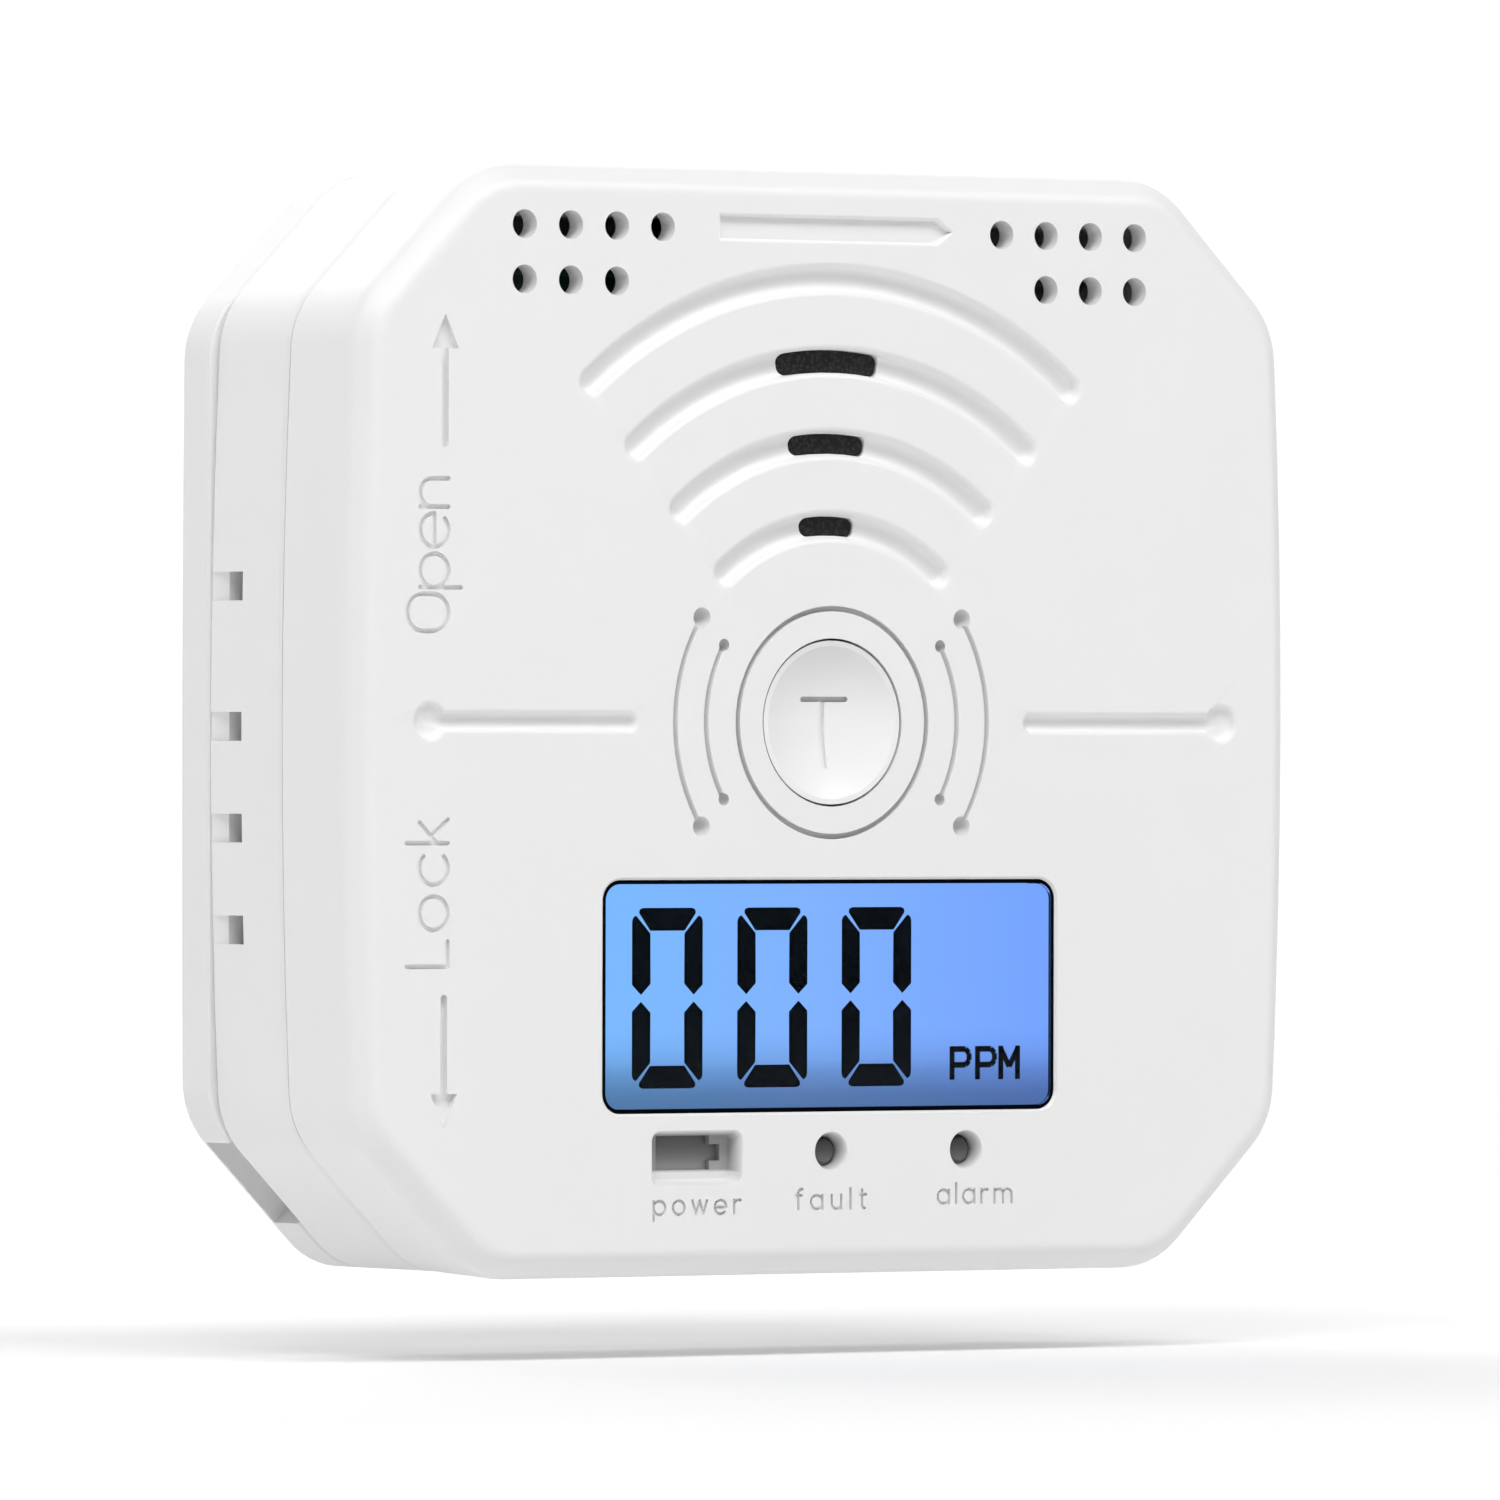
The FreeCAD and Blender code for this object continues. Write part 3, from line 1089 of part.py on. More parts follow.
def make_switch():
    half = "switch_half"
    outer = block("switch_block", f"-1 * {half}", half, f"-1 * {half}", half, "switch_front", "board_front")
    room = rod("switch_room", "dome_radius + weld", "plunger_back", "dome_back", "0", "0")
    bore = rod("switch_bore", "plunger_bore_radius", "switch_front - weld", "plunger_back + weld")
    piece(cut("switch_body", outer, joined("switch_space", [room, bore])), "switch_body")
    lid = block("switch_lid", f"-1 * {half}", half, f"-1 * {half}", half, "switch_cover_front",
                "switch_front")
    lid_hole = rod("switch_lid_hole", "switch_bore_radius", "switch_cover_front - weld",
                   "switch_front + weld")
    piece(cut("switch_cover", lid, lid_hole), "switch_cover")
    dome = doc.addObject("Part::Cone", "switch_dome_outside")
    dome.Placement = Placement(Vector(), Rotation(Vector(1, 0, 0), -90))
    bind(dome, {"Radius1": "dome_radius / 2", "Radius2": "dome_radius", "Height": "dome_back - dome_front",
                "Placement.Base.y": "dome_front - case_depth"})
    inside = doc.addObject("Part::Cone", "switch_dome_inside")
    inside.Placement = dome.Placement
    bind(inside, {"Radius1": "dome_radius / 2 - dome_thickness", "Radius2": "dome_radius - dome_thickness",
                  "Height": "dome_back - dome_front",
                  "Placement.Base.y": "dome_front + dome_thickness - case_depth"})
    piece(cut("switch_dome_shell", dome, inside), "switch_dome")
    piece(rod("plunger", "plunger_radius", "button_flange_back", "plunger_back"), "switch_plunger")


# Batteries

def leaf_spring(side, z):
    """A bowed strip that presses the flat end of a cell away from the end plate on one side."""
    half_span = size("spring_half_span")
    rise = size("spring_rise")
    outer = (half_span ** 2 + rise ** 2) / (2 * rise)
    inner = outer - size("spring_strip")
    root = side * (size("bay_half_length") - size("contact_thickness"))
    centre_x = root - side * (rise - outer)
    foot = math.degrees(math.asin(half_span / outer))
    half_angle = foot if rise < outer else 180 - foot

    def bow_point(radius, degrees):
        angle = math.radians(degrees)
        x = centre_x - side * radius * math.cos(angle)
        return at(x, z - size("spring_half_width"), size("cell_depth") + radius * math.sin(angle))

    corners = [bow_point(outer, -half_angle), bow_point(outer, half_angle),
               bow_point(inner, half_angle), bow_point(inner, -half_angle)]
    strip = Part.Face(Part.Wire([
        arc_edge((corners[0], bow_point(outer, 0), corners[1])),
        Part.LineSegment(corners[1], corners[2]).toShape(),
        arc_edge((corners[2], bow_point(inner, 0), corners[3])),
        Part.LineSegment(corners[3], corners[0]).toShape(),
    ]))
    return strip.extrude(Vector(0, 0, 2 * size("spring_half_width")))


def make_batteries():
    """Three cells side by side, each turned the other way from the one above it."""
    contacts = []
    springs = []
    for number in range(3):
        side = -1 if number % 2 == 0 else 1
        z = f"(1 - {number}) * cell_pitch"
        nub_face = "bay_half_length - contact_thickness"
        if side < 0:
            cell_start = f"-1 * ({nub_face}) + cell_nub_length"
            nub_start = f"-1 * ({nub_face})"
        else:
            cell_start = f"{nub_face} - cell_nub_length - cell_length"
            nub_start = f"{nub_face} - cell_nub_length"
        can = bar_along_x(f"cell_can_{number}", "cell_radius", cell_start, "cell_length", z, "cell_depth")
        nub = bar_along_x(f"cell_nub_{number}", "cell_nub_radius", nub_start, "cell_nub_length", z,
                          "cell_depth")
        piece(joined(f"battery_cell_{number}", [can, nub]), f"battery_{number + 1}")
        springs.append(leaf_spring(-side, (1 - number) * size("cell_pitch")))
    outer_end = "cell_pitch + contact_half_width"
    rows = (
        ("left_upper", -1, "cell_pitch - contact_half_width", outer_end),
        ("left_lower", -1, f"-1 * ({outer_end})", "contact_half_width"),
        ("right_upper", 1, "-1 * contact_half_width", outer_end),
        ("right_lower", 1, f"-1 * ({outer_end})", "contact_half_width - cell_pitch"),
    )
    for name, side, bottom, top in rows:
        near = "bay_half_length - contact_thickness"
        if side > 0:
            left = near
            right = "bay_half_length"
        else:
            left = "-1 * bay_half_length"
            right = f"-1 * ({near})"
        contacts.append(block(f"contact_{name}", left, right, bottom, top, "contact_front", "contact_back"))
    piece(collected("battery_contacts", contacts), "battery_contacts")
    piece(shaped("spring_set", springs), "battery_springs")


def make_leads():
    """Two insulated wires, each from an end contact through its notch to the circuit board."""
    for label, side in (("battery_lead_red", -1), ("battery_lead_black", 1)):
        z = -side * size("lead_run_z")
        bend = size("lead_bend")
        run_x = side * size("lead_run_x")
        depth = size("lead_depth")
        corner = at(run_x, z, depth)
        into_board = corner - Vector(0, bend, 0)
        into_bay = corner - Vector(side * bend, 0, 0)
        centre = corner - Vector(side * bend, bend, 0)
        middle = centre + (corner - centre).normalize() * bend
        board_end = at(run_x, z, size("board_back"))
        bay_end = at(side * size("bay_half_length"), z, depth)
        path = Part.Wire([
            Part.LineSegment(board_end, into_board).toShape(),
            arc_edge((into_board, middle, into_bay)),
            Part.LineSegment(into_bay, bay_end).toShape(),
        ])
        section = Part.Wire([Part.Circle(board_end, Vector(0, 1, 0), size("lead_radius")).toShape()])
        lead = doc.addObject("Part::Feature", label)
        lead.Shape = path.makePipeShell([section], True, True)
        piece(lead, label)


# Screws

def make_screws():
    heads = screw_posts("case_screw_head", "case_head_radius", "case_head_front", "back_face - weld")
    shanks = screw_posts("case_screw_shank", "case_shank_radius", "case_shank_front",
                         "case_head_front + weld")
    slots = screw_posts("case_screw_drive", "case_head_radius / 3", "back_face - 4 * weld", "back_face")
    screws = [cut(f"case_screw_{number}", joined(f"case_screw_solid_{number}", [head, shank]), slot)
              for number, (head, shank, slot) in enumerate(zip(heads, shanks, slots))]
    piece(collected("case_screw_set", screws), "case_screws")
    head_back = "board_back + board_head_height"
    heads = board_posts("board_screw_head", "board_head_radius", "board_back", head_back)
    shanks = board_posts("board_screw_shank", "board_shank_radius", "board_shank_front", "board_back + weld")
    slots = board_posts("board_screw_drive", "board_head_radius / 3", f"{head_back} - 3 * weld",
                        f"{head_back} + weld")
    screws = [cut(f"board_screw_{number}", joined(f"board_screw_solid_{number}", [head, shank]), slot)
              for number, (head, shank, slot) in enumerate(zip(heads, shanks, slots))]
    piece(collected("board_screw_set", screws), "board_screws")


def check_and_write():
    """Stop if any object failed or any sub-part's shape is bad, then write every sub-part."""
    doc.recompute()
    for item in doc.Objects:
        if "Invalid" in item.State or "Error" in item.State:
            raise RuntimeError(f"{item.Name} failed: {item.State}")
    for item in pieces:
        if item.Shape.isNull() or not item.Shape.isValid() or not item.Shape.Solids:
            raise RuntimeError(f"{item.Label} has a bad shape")
    os.makedirs("parts", exist_ok=True)
    for item in pieces:
        item.Shape.exportStep(f"parts/{item.Label}.step")
        print(f"{item.Label}: {len(item.Shape.Solids)} solid(s), {item.Shape.Volume:.1f} mm3")


make_mounting_plate()
make_rear_cover()
make_front_cover()
make_display()
make_circuit_board()
make_board_parts()
make_sensor()
make_buzzer()
make_lights()
make_test_button()
make_switch()
make_batteries()
make_leads()
make_screws()
check_and_write()
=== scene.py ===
import math

import bmesh
import bpy
from mathutils import Matrix, Vector


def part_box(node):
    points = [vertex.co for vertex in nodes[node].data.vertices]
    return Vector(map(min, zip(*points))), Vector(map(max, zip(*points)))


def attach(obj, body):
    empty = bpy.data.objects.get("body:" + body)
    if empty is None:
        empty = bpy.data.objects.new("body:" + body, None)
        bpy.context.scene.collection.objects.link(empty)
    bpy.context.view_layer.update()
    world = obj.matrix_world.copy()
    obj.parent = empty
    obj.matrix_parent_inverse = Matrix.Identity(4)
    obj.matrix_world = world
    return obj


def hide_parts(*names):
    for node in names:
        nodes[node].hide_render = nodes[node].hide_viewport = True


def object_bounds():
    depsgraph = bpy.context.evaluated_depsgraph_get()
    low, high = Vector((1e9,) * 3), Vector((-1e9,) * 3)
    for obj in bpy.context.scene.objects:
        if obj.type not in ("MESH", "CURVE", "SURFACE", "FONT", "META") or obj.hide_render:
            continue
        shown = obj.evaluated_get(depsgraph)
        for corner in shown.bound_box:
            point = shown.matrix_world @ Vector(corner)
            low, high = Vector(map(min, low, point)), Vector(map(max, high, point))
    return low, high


# A wall-mounted carbon monoxide detector over a plain pale floor.
# Metres, in the model's own frame: X to the right and Z up as seen from the front, Y towards the wall.

MM = 0.001

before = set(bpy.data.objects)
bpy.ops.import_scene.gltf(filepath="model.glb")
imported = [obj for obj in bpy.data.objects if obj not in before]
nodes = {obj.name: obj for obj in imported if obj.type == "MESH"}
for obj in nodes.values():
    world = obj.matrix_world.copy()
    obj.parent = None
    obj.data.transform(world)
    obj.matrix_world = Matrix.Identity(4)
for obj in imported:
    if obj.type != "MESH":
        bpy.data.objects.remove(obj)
cad_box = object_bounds()
face_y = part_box("front_cover")[0].y


# Node helpers for procedural materials

def new_material(name, settings):
    """A material with a Principled shader and its plain settings."""
    material = bpy.data.materials.new(name)
    material.use_nodes = True
    shader = material.node_tree.nodes["Principled BSDF"]
    for socket, value in settings.items():
        shader.inputs[socket].default_value = value
    return material, shader


def add_node(material, kind, **inputs):
    """A shader node; each input is given as its socket's name with _ for a space."""
    node = material.node_tree.nodes.new(kind)
    for name, value in inputs.items():
        node.inputs[name.replace("_", " ")].default_value = value
    return node


def link(material, source, target):
    """Join an output to an input."""
    material.node_tree.links.new(source, target)


def object_position(material):
    """Coordinates in metres in the model's frame."""
    return material.node_tree.nodes.new("ShaderNodeTexCoord").outputs["Object"]


def along(material, axis, start, end):
    """The share of the way from a start to an end along an axis, from 0 to 1."""
    split = material.node_tree.nodes.new("ShaderNodeSeparateXYZ")
    link(material, object_position(material), split.inputs["Vector"])
    share = add_node(material, "ShaderNodeMapRange")
    share.inputs["From Min"].default_value = start
    share.inputs["From Max"].default_value = end
    link(material, split.outputs[axis], share.inputs["Value"])
    return share.outputs["Result"]


def noise(material, scale, detail=3.0):
    """Noise with features about 1 / scale metres across."""
    node = add_node(material, "ShaderNodeTexNoise", Scale=scale, Detail=detail, Roughness=0.55)
    link(material, object_position(material), node.inputs["Vector"])
    return node.outputs["Fac"]


def grey(level):
    """A neutral colour."""
    return (level, level, level)


def greys(shades, level=1.0):
    """Stops for a ramp from (position, shade) pairs, where a shade is a share of a level."""
    return [(position, grey(level * shade)) for position, shade in shades]


def ramp(material, factor, stops):
    """A colour ramp from (position, colour) stops."""
    node = material.node_tree.nodes.new("ShaderNodeValToRGB")
    elements = node.color_ramp.elements
    while len(elements) < len(stops):
        elements.new(0.5)
    for element, (position, colour) in zip(elements, stops):
        element.position = position
        element.color = (*colour, 1.0)
    link(material, factor, node.inputs["Fac"])
    return node.outputs["Color"]


def ramp_up(material, node, shades):
    """Greys from a CAD node's lower edge to its upper edge."""
    low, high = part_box(node)
    return ramp(material, along(material, "Z", low.z, high.z), greys(shades))


def combined(material, operation, first, second):
    """Two colours joined by a vector operation."""
    node = material.node_tree.nodes.new("ShaderNodeVectorMath")
    node.operation = operation
    link(material, first, node.inputs[0])
    link(material, second, node.inputs[1])
    return node.outputs["Vector"]


def bump(material, shader, height, strength, distance):
    """Fine relief from a height, up to a distance in metres."""
    node = add_node(material, "ShaderNodeBump", Strength=strength, Distance=distance)
    link(material, height, node.inputs["Height"])
    link(material, node.outputs["Normal"], shader.inputs["Normal"])


# Finishes

PLASTIC_INDEX = 1.5
RELIEF_DEPTH = 2e-6

# Scales of the noise, in features per metre
PLASTIC_MOTTLE = 60.0
PLASTIC_GRAIN = 6000.0
METAL_MOTTLE = 400.0

# Painted shade in the grooves and holes: how much of the plastic's brightness is left at each share of the
# way down to a depth under the face
RECESS_DEPTH = 2 * MM
PAINTED_RECESS_SHADES = ((0.0, 1.0), (0.1, 0.88), (0.25, 0.72), (0.55, 0.45), (0.9, 0.3))

# Painted highlight: how much of the brightness is kept on the way up the lower wall of a light's hole, which
# faces up into the light
LIT_WALL = 0.4 * MM
PAINTED_WALL_HIGHLIGHTS = ((0.0, 0.95), (1.0, 0.0))


def uneven(material, shader, colour, roughness, scale, tone, gloss):
    """Let the colour vary a little from place to place, and the roughness in smaller patches."""
    darker = tuple(channel * (1 - tone) for channel in colour)
    mottled = ramp(material, noise(material, scale), [(0.3, darker), (0.7, colour)])
    link(material, mottled, shader.inputs["Base Color"])
    shiny = grey(roughness - gloss)
    dull = grey(roughness + gloss)
    patches = ramp(material, noise(material, scale * 9, 2.0), [(0.25, shiny), (0.75, dull)])
    link(material, patches, shader.inputs["Roughness"])


def moulded_plastic(name, colour, roughness, tone=0.012, gloss=0.03):
    """Injection-moulded plastic: a fine spark-eroded grain, and a faint uneven tone and gloss."""
    material, shader = new_material(name, {"IOR": PLASTIC_INDEX})
    uneven(material, shader, colour, roughness, PLASTIC_MOTTLE, tone, gloss)
    bump(material, shader, noise(material, PLASTIC_GRAIN), strength=0.12, distance=RELIEF_DEPTH)
    return material


def plastic_with_painted_recess_shade(name, level, roughness):
    """The case's plastic where it lies deep in a narrow groove or a hole, with painted shade: darker with
    depth.

    The lower walls of the holes over the lights get a painted highlight that keeps them bright, since they
    face up into the light.
    """
    material, shader = new_material(name, {"Roughness": roughness, "IOR": PLASTIC_INDEX})
    # Painted shade: the deeper under the face, the darker
    depth = along(material, "Y", face_y, face_y + RECESS_DEPTH)
    painted_depth_shade = ramp(material, depth, greys(PAINTED_RECESS_SHADES, level))
    # Painted highlight on the lower walls of the holes over the lights
    low_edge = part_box("fault_led")[0].z
    rise = along(material, "Z", low_edge, low_edge + LIT_WALL)
    painted_wall_highlight = ramp(material, rise, greys(PAINTED_WALL_HIGHLIGHTS, level))
    link(material, combined(material, "MAXIMUM", painted_depth_shade, painted_wall_highlight), shader.inputs["Base Color"])
    return material


def smoked_plastic_with_painted_shade(name, node, roughness, levels):
    """Smoked plastic, with painted shade that darkens it towards its upper edge, where the wall above shades
    it.
    """
    material, shader = new_material(name, {"Roughness": roughness, "IOR": PLASTIC_INDEX})
    link(material, ramp_up(material, node, levels), shader.inputs["Base Color"])
    return material


def paint_shade_upwards(material, node, shades):
    """Paint shade on a material: darker towards a node's upper edge."""
    shader = material.node_tree.nodes["Principled BSDF"]
    colour = shader.inputs["Base Color"].links[0].from_socket
    shade = ramp_up(material, node, shades)
    link(material, combined(material, "MULTIPLY", colour, shade), shader.inputs["Base Color"])


def dead_black(name, colour):
    """Black with no sheen at all."""
    material, shader = new_material(name, {"Specular IOR Level": 0.0})
    uneven(material, shader, colour, roughness=0.8, scale=300.0, tone=0.2, gloss=0.05)
    return material


def worked_metal(name, colour, roughness):
    """Bare or plated metal with a faintly uneven polish."""
    material, shader = new_material(name, {"Metallic": 1.0})
    uneven(material, shader, colour, roughness, METAL_MOTTLE, tone=0.08, gloss=0.07)
    bump(material, shader, noise(material, METAL_MOTTLE * 8), strength=0.1, distance=RELIEF_DEPTH)
    return material


def clear_plastic(name, index):
    """A thin transparent moulding with a few faint smears."""
    material, shader = new_material(name, {
        "Base Color": (1.0, 1.0, 1.0, 1.0), "Transmission Weight": 1.0, "IOR": index})
    smears = ramp(material, noise(material, 150.0), [(0.3, grey(0.0)), (0.7, grey(0.02))])
    link(material, smears, shader.inputs["Roughness"])
    return material


def circuit_board():
    """Solder mask over copper tracks, which run in both directions and stand slightly proud."""
    material, shader = new_material("solder_mask", {"Roughness": 0.35, "IOR": PLASTIC_INDEX})
    tracks = add_node(material, "ShaderNodeTexBrick", Scale=260.0, Mortar_Size=0.06, Mortar_Smooth=0.2)
    tracks.inputs["Color1"].default_value = (0.006, 0.05, 0.026, 1)
    tracks.inputs["Color2"].default_value = (0.007, 0.058, 0.03, 1)
    tracks.inputs["Mortar"].default_value = (0.014, 0.1, 0.05, 1)
    turn = add_node(material, "ShaderNodeMapping", Rotation=(math.radians(90), 0, 0))
    link(material, object_position(material), turn.inputs["Vector"])
    link(material, turn.outputs["Vector"], tracks.inputs["Vector"])
    link(material, tracks.outputs["Color"], shader.inputs["Base Color"])
    bump(material, shader, tracks.outputs["Fac"], strength=0.3, distance=3e-5)
    return material


# The sleeve's bands are placed along this length to both sides of the cells' middle
SLEEVE_HALF = 25 * MM


def battery_sleeve():
    """A printed sleeve with a band near one end, between bare metal ends."""
    material, shader = new_material("printed_sleeve", {"Roughness": 0.3, "Metallic": 0.4})
    body = (0.012, 0.03, 0.075)
    band = (0.55, 0.35, 0.12)
    metal = grey(0.6)
    colour = ramp(material, along(material, "X", -SLEEVE_HALF, SLEEVE_HALF), [
        (0.0, metal), (0.09, metal), (0.095, body), (0.2, band), (0.26, body), (0.905, metal)])
    colour.node.color_ramp.interpolation = "CONSTANT"
    link(material, colour, shader.inputs["Base Color"])
    return material


def woven_cloth():
    """Fine black acoustic cloth."""
    material, shader = new_material("acoustic_cloth", {"Roughness": 0.9})
    threads = add_node(material, "ShaderNodeTexVoronoi", Scale=3500.0)
    link(material, object_position(material), threads.inputs["Vector"])
    colour = ramp(material, threads.outputs["Distance"], [(0.1, grey(0.035)), (0.6, grey(0.008))])
    link(material, colour, shader.inputs["Base Color"])
    return material


# The display's glow across the panel and up it: a paler blue on the left, and painted shade along the lower
# edge
GLOW_ACROSS = [(0.0, (0.2, 0.49, 1.0)), (0.45, (0.22, 0.45, 1.0)), (1.0, (0.18, 0.37, 1.0))]
GLOW_UP_WITH_PAINTED_SHADE = [(0.0, 0.38), (0.06, 0.42), (0.1, 0.5), (0.155, 0.62), (0.21, 0.8), (0.28, 0.93), (0.36, 1.0)]


def display_glow():
    """A backlit liquid crystal panel with its segments switched off."""
    material, shader = new_material("backlit_panel", {
        "Base Color": (0.004, 0.006, 0.01, 1), "Roughness": 0.5, "Specular IOR Level": 0.0,
        "Emission Strength": 1.0})
    low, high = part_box("display_window")
    across = ramp(material, along(material, "X", low.x, high.x), GLOW_ACROSS)
    # Painted shade along the window's lower edge
    up = ramp_up(material, "display_window", GLOW_UP_WITH_PAINTED_SHADE)
    link(material, combined(material, "MULTIPLY", across, up), shader.inputs["Emission Color"])
    return material


# Pieces

# Points closer than this are one point, and a face this near to another's plane continues it
WELD_REACH = 2e-7
LEVEL_TOLERANCE = 5e-7

# A flat area of at least this size keeps its own direction up to its edges
LARGE_AREA = 30 * MM * MM

# Blender's own value for a face that decides the direction of its corners
STRONG = 16384


def new_piece(name, mesh, body, material):
    """A visible piece that moves with a body and has the given finish."""
    piece = bpy.data.objects.new(name, mesh)
    bpy.context.scene.collection.objects.link(piece)
    mesh.materials.clear()
    mesh.materials.append(material)
    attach(piece, body)
    return piece


def mark_large_faces(work):
    """Mark the faces that belong to a large flat area, so that the area keeps its own direction."""
    strength = work.faces.layers.int.new("__mod_weightednormals_faceweight")
    seen = set()
    for start in sorted(work.faces, key=lambda face: -face.calc_area()):
        if start in seen:
            continue
        seen.add(start)
        level = start.verts[0].co.dot(start.normal)
        # The list grows while it is walked, until the area has no more neighbours in its plane
        flat = [start]
        for face in flat:
            for other in (near for edge in face.edges for near in edge.link_faces if near not in seen):
                if all(abs(vertex.co.dot(start.normal) - level) < LEVEL_TOLERANCE for vertex in other.verts):
                    seen.add(other)
                    flat.append(other)
        is_large = sum(face.calc_area() for face in flat) > LARGE_AREA
        for face in flat:
            face[strength] = STRONG if is_large else 0


def moulded_skin(node, body, material, smooth_angle=40.0, has_flats=True):
    """The node's own surface with its seams closed, so that its rounded edges shade as one smooth skin."""
    work = bmesh.new()
    work.from_mesh(nodes[node].data)
    bmesh.ops.remove_doubles(work, verts=work.verts, dist=WELD_REACH)
    work.verts.index_update()
    points = [vertex.co.copy() for vertex in work.verts]
    faces = [[vertex.index for vertex in face.verts] for face in work.faces]
    work.free()
    mesh = bpy.data.meshes.new(f"{node}_skin")
    mesh.from_pydata(points, [], faces)
    work = bmesh.new()
    work.from_mesh(mesh)
    work.normal_update()
    mark_large_faces(work)
    work.to_mesh(mesh)
    work.free()
    mesh.polygons.foreach_set("use_smooth", [True] * len(mesh.polygons))
    mesh.set_sharp_from_angle(angle=math.radians(smooth_angle))
    piece = new_piece(f"{node}_skin", mesh, body, material)
    if has_flats:
        normals = piece.modifiers.new("even_normals", "WEIGHTED_NORMAL")
        normals.keep_sharp = True
        normals.use_face_influence = True
        normals.weight = 80
    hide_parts(node)
    return piece


# Where the face has narrow grooves and holes that get painted shade, from the middle of the button
RING_REACH = 9 * MM
WAVES_REACH = 15.5 * MM
LIGHTS_LOW = -37.5 * MM
LIGHTS_HIGH = -28.6 * MM
LIGHTS_HALF = 18 * MM
LEAST_RECESS = 0.02 * MM


def paint_recess_shade(piece, material):
    """Give the narrow grooves and holes round the button and along the face's lower edge a second material,
    with painted shade.
    """
    mesh = piece.data
    mesh.materials.append(material)
    for polygon in mesh.polygons:
        x, y, z = polygon.center
        reach = math.hypot(x, z)
        is_by_button = reach < RING_REACH or (reach < WAVES_REACH and abs(z) < abs(x))
        is_by_lights = LIGHTS_LOW < z < LIGHTS_HIGH and abs(x) < LIGHTS_HALF
        if y > face_y + LEAST_RECESS and (is_by_button or is_by_lights):
            polygon.material_index = 1


# The button's dish is part of a ball; the crossbar of the letter cut into it lies within these limits
DISH_DEPTH = 1.3 * MM
DISH_BALL = 12.71 * MM
CROSSBAR_HALF = 2.2 * MM
CROSSBAR_LOW = 1.4 * MM
CROSSBAR_HIGH = 2.0 * MM
CROSSBAR_BACK = 1.7 * MM
LEAST_CUT = 0.05 * MM


def paint_crossbar_shade(piece, material):
    """Paint shade on the crossbar of the button's letter with a darker material, since its upper wall shades
    it.
    """
    mesh = piece.data
    mesh.materials.append(material)
    front = min(vertex.co.y for vertex in mesh.vertices)
    centre = Vector((0, front + DISH_DEPTH - DISH_BALL, 0))
    for polygon in mesh.polygons:
        x, y, z = polygon.center
        is_across = abs(x) < CROSSBAR_HALF and CROSSBAR_LOW < z < CROSSBAR_HIGH
        is_cut = (polygon.center - centre).length > DISH_BALL + LEAST_CUT
        if is_across and is_cut and y < front + CROSSBAR_BACK:
            polygon.material_index = 1


# The display's segments and letters, in millimetres

# A zero of separate segments, each from (across, down) points, from the middle of the zero's upper edge
DIGIT_HEIGHT = 13.15
TOP_SEGMENT = [(-2.15, 0.0), (2.15, 0.0), (2.42, 0.12), (2.47, 0.38), (1.5, 1.66),
               (-1.5, 1.66), (-2.47, 0.38), (-2.42, 0.12)]
SIDE_SEGMENT = [(3.08, 0.98), (2.98, 0.7), (2.74, 0.56), (1.5, 1.86), (1.48, 5.52),
                (2.3, 6.32), (3.08, 5.6)]
DIGIT_MIDDLES = (-14.2, -4.98, 4.24)
DIGIT_TOP = -13.53

# The unit beside the digits: each letter's left edge and width
UNIT_LETTERS = (("P", 10.79, 1.95), ("P", 13.07, 1.95), ("M", 15.16, 1.93))
UNIT_TOP = -23.8
UNIT_HEIGHT = 2.47
UNIT_STROKE = 0.43

# The bowl of the P and the dip of the M come down by these shares of the height; the bowl's corners are cut
BOWL_SHARE = 0.56
DIP_SHARE = 0.62
BOWL_CORNER = 0.32

# The segments fill the space between the window and the panel, short of each by a little
WINDOW_GAP = 0.02 * MM
PANEL_GAP = 0.01 * MM


def prisms(name, outlines, front, back):
    """A mesh of flat pieces parallel to the face, each from an outline of (x, z) in millimetres."""
    points = []
    faces = []
    for outline in outlines:
        first = len(points)
        count = len(outline)
        points += [(x * MM, front, z * MM) for x, z in outline]
        points += [(x * MM, back, z * MM) for x, z in outline]
        faces.append([first + i for i in range(count)])
        faces.append([first + count + i for i in reversed(range(count))])
        faces += [[first + i, first + count + i, first + count + (i + 1) % count, first + (i + 1) % count]
                  for i in range(count)]
    mesh = bpy.data.meshes.new(name)
    mesh.from_pydata(points, [], faces)
    work = bmesh.new()
    work.from_mesh(mesh)
    bmesh.ops.recalc_face_normals(work, faces=work.faces)
    work.to_mesh(mesh)
    work.free()
    return mesh


def zero(middle):
    """The six segments of a zero."""
    outlines = []
    for turn_down in (False, True):
        for side in (1, -1):
            segments = [SIDE_SEGMENT] + ([TOP_SEGMENT] if side > 0 else [])
            for segment in segments:
                outline = []
                for across, down in segment:
                    drop = DIGIT_HEIGHT - down if turn_down else down
                    outline.append((middle + side * across, DIGIT_TOP - drop))
                outlines.append(outline)
    return outlines


def bar(start, end):
    """A straight stroke of a letter as a rectangle."""
    length = math.dist(start, end)
    across_x = -(end[1] - start[1]) / length * UNIT_STROKE / 2
    across_z = (end[0] - start[0]) / length * UNIT_STROKE / 2
    return [(start[0] - across_x, start[1] - across_z), (end[0] - across_x, end[1] - across_z),
            (end[0] + across_x, end[1] + across_z), (start[0] + across_x, start[1] + across_z)]


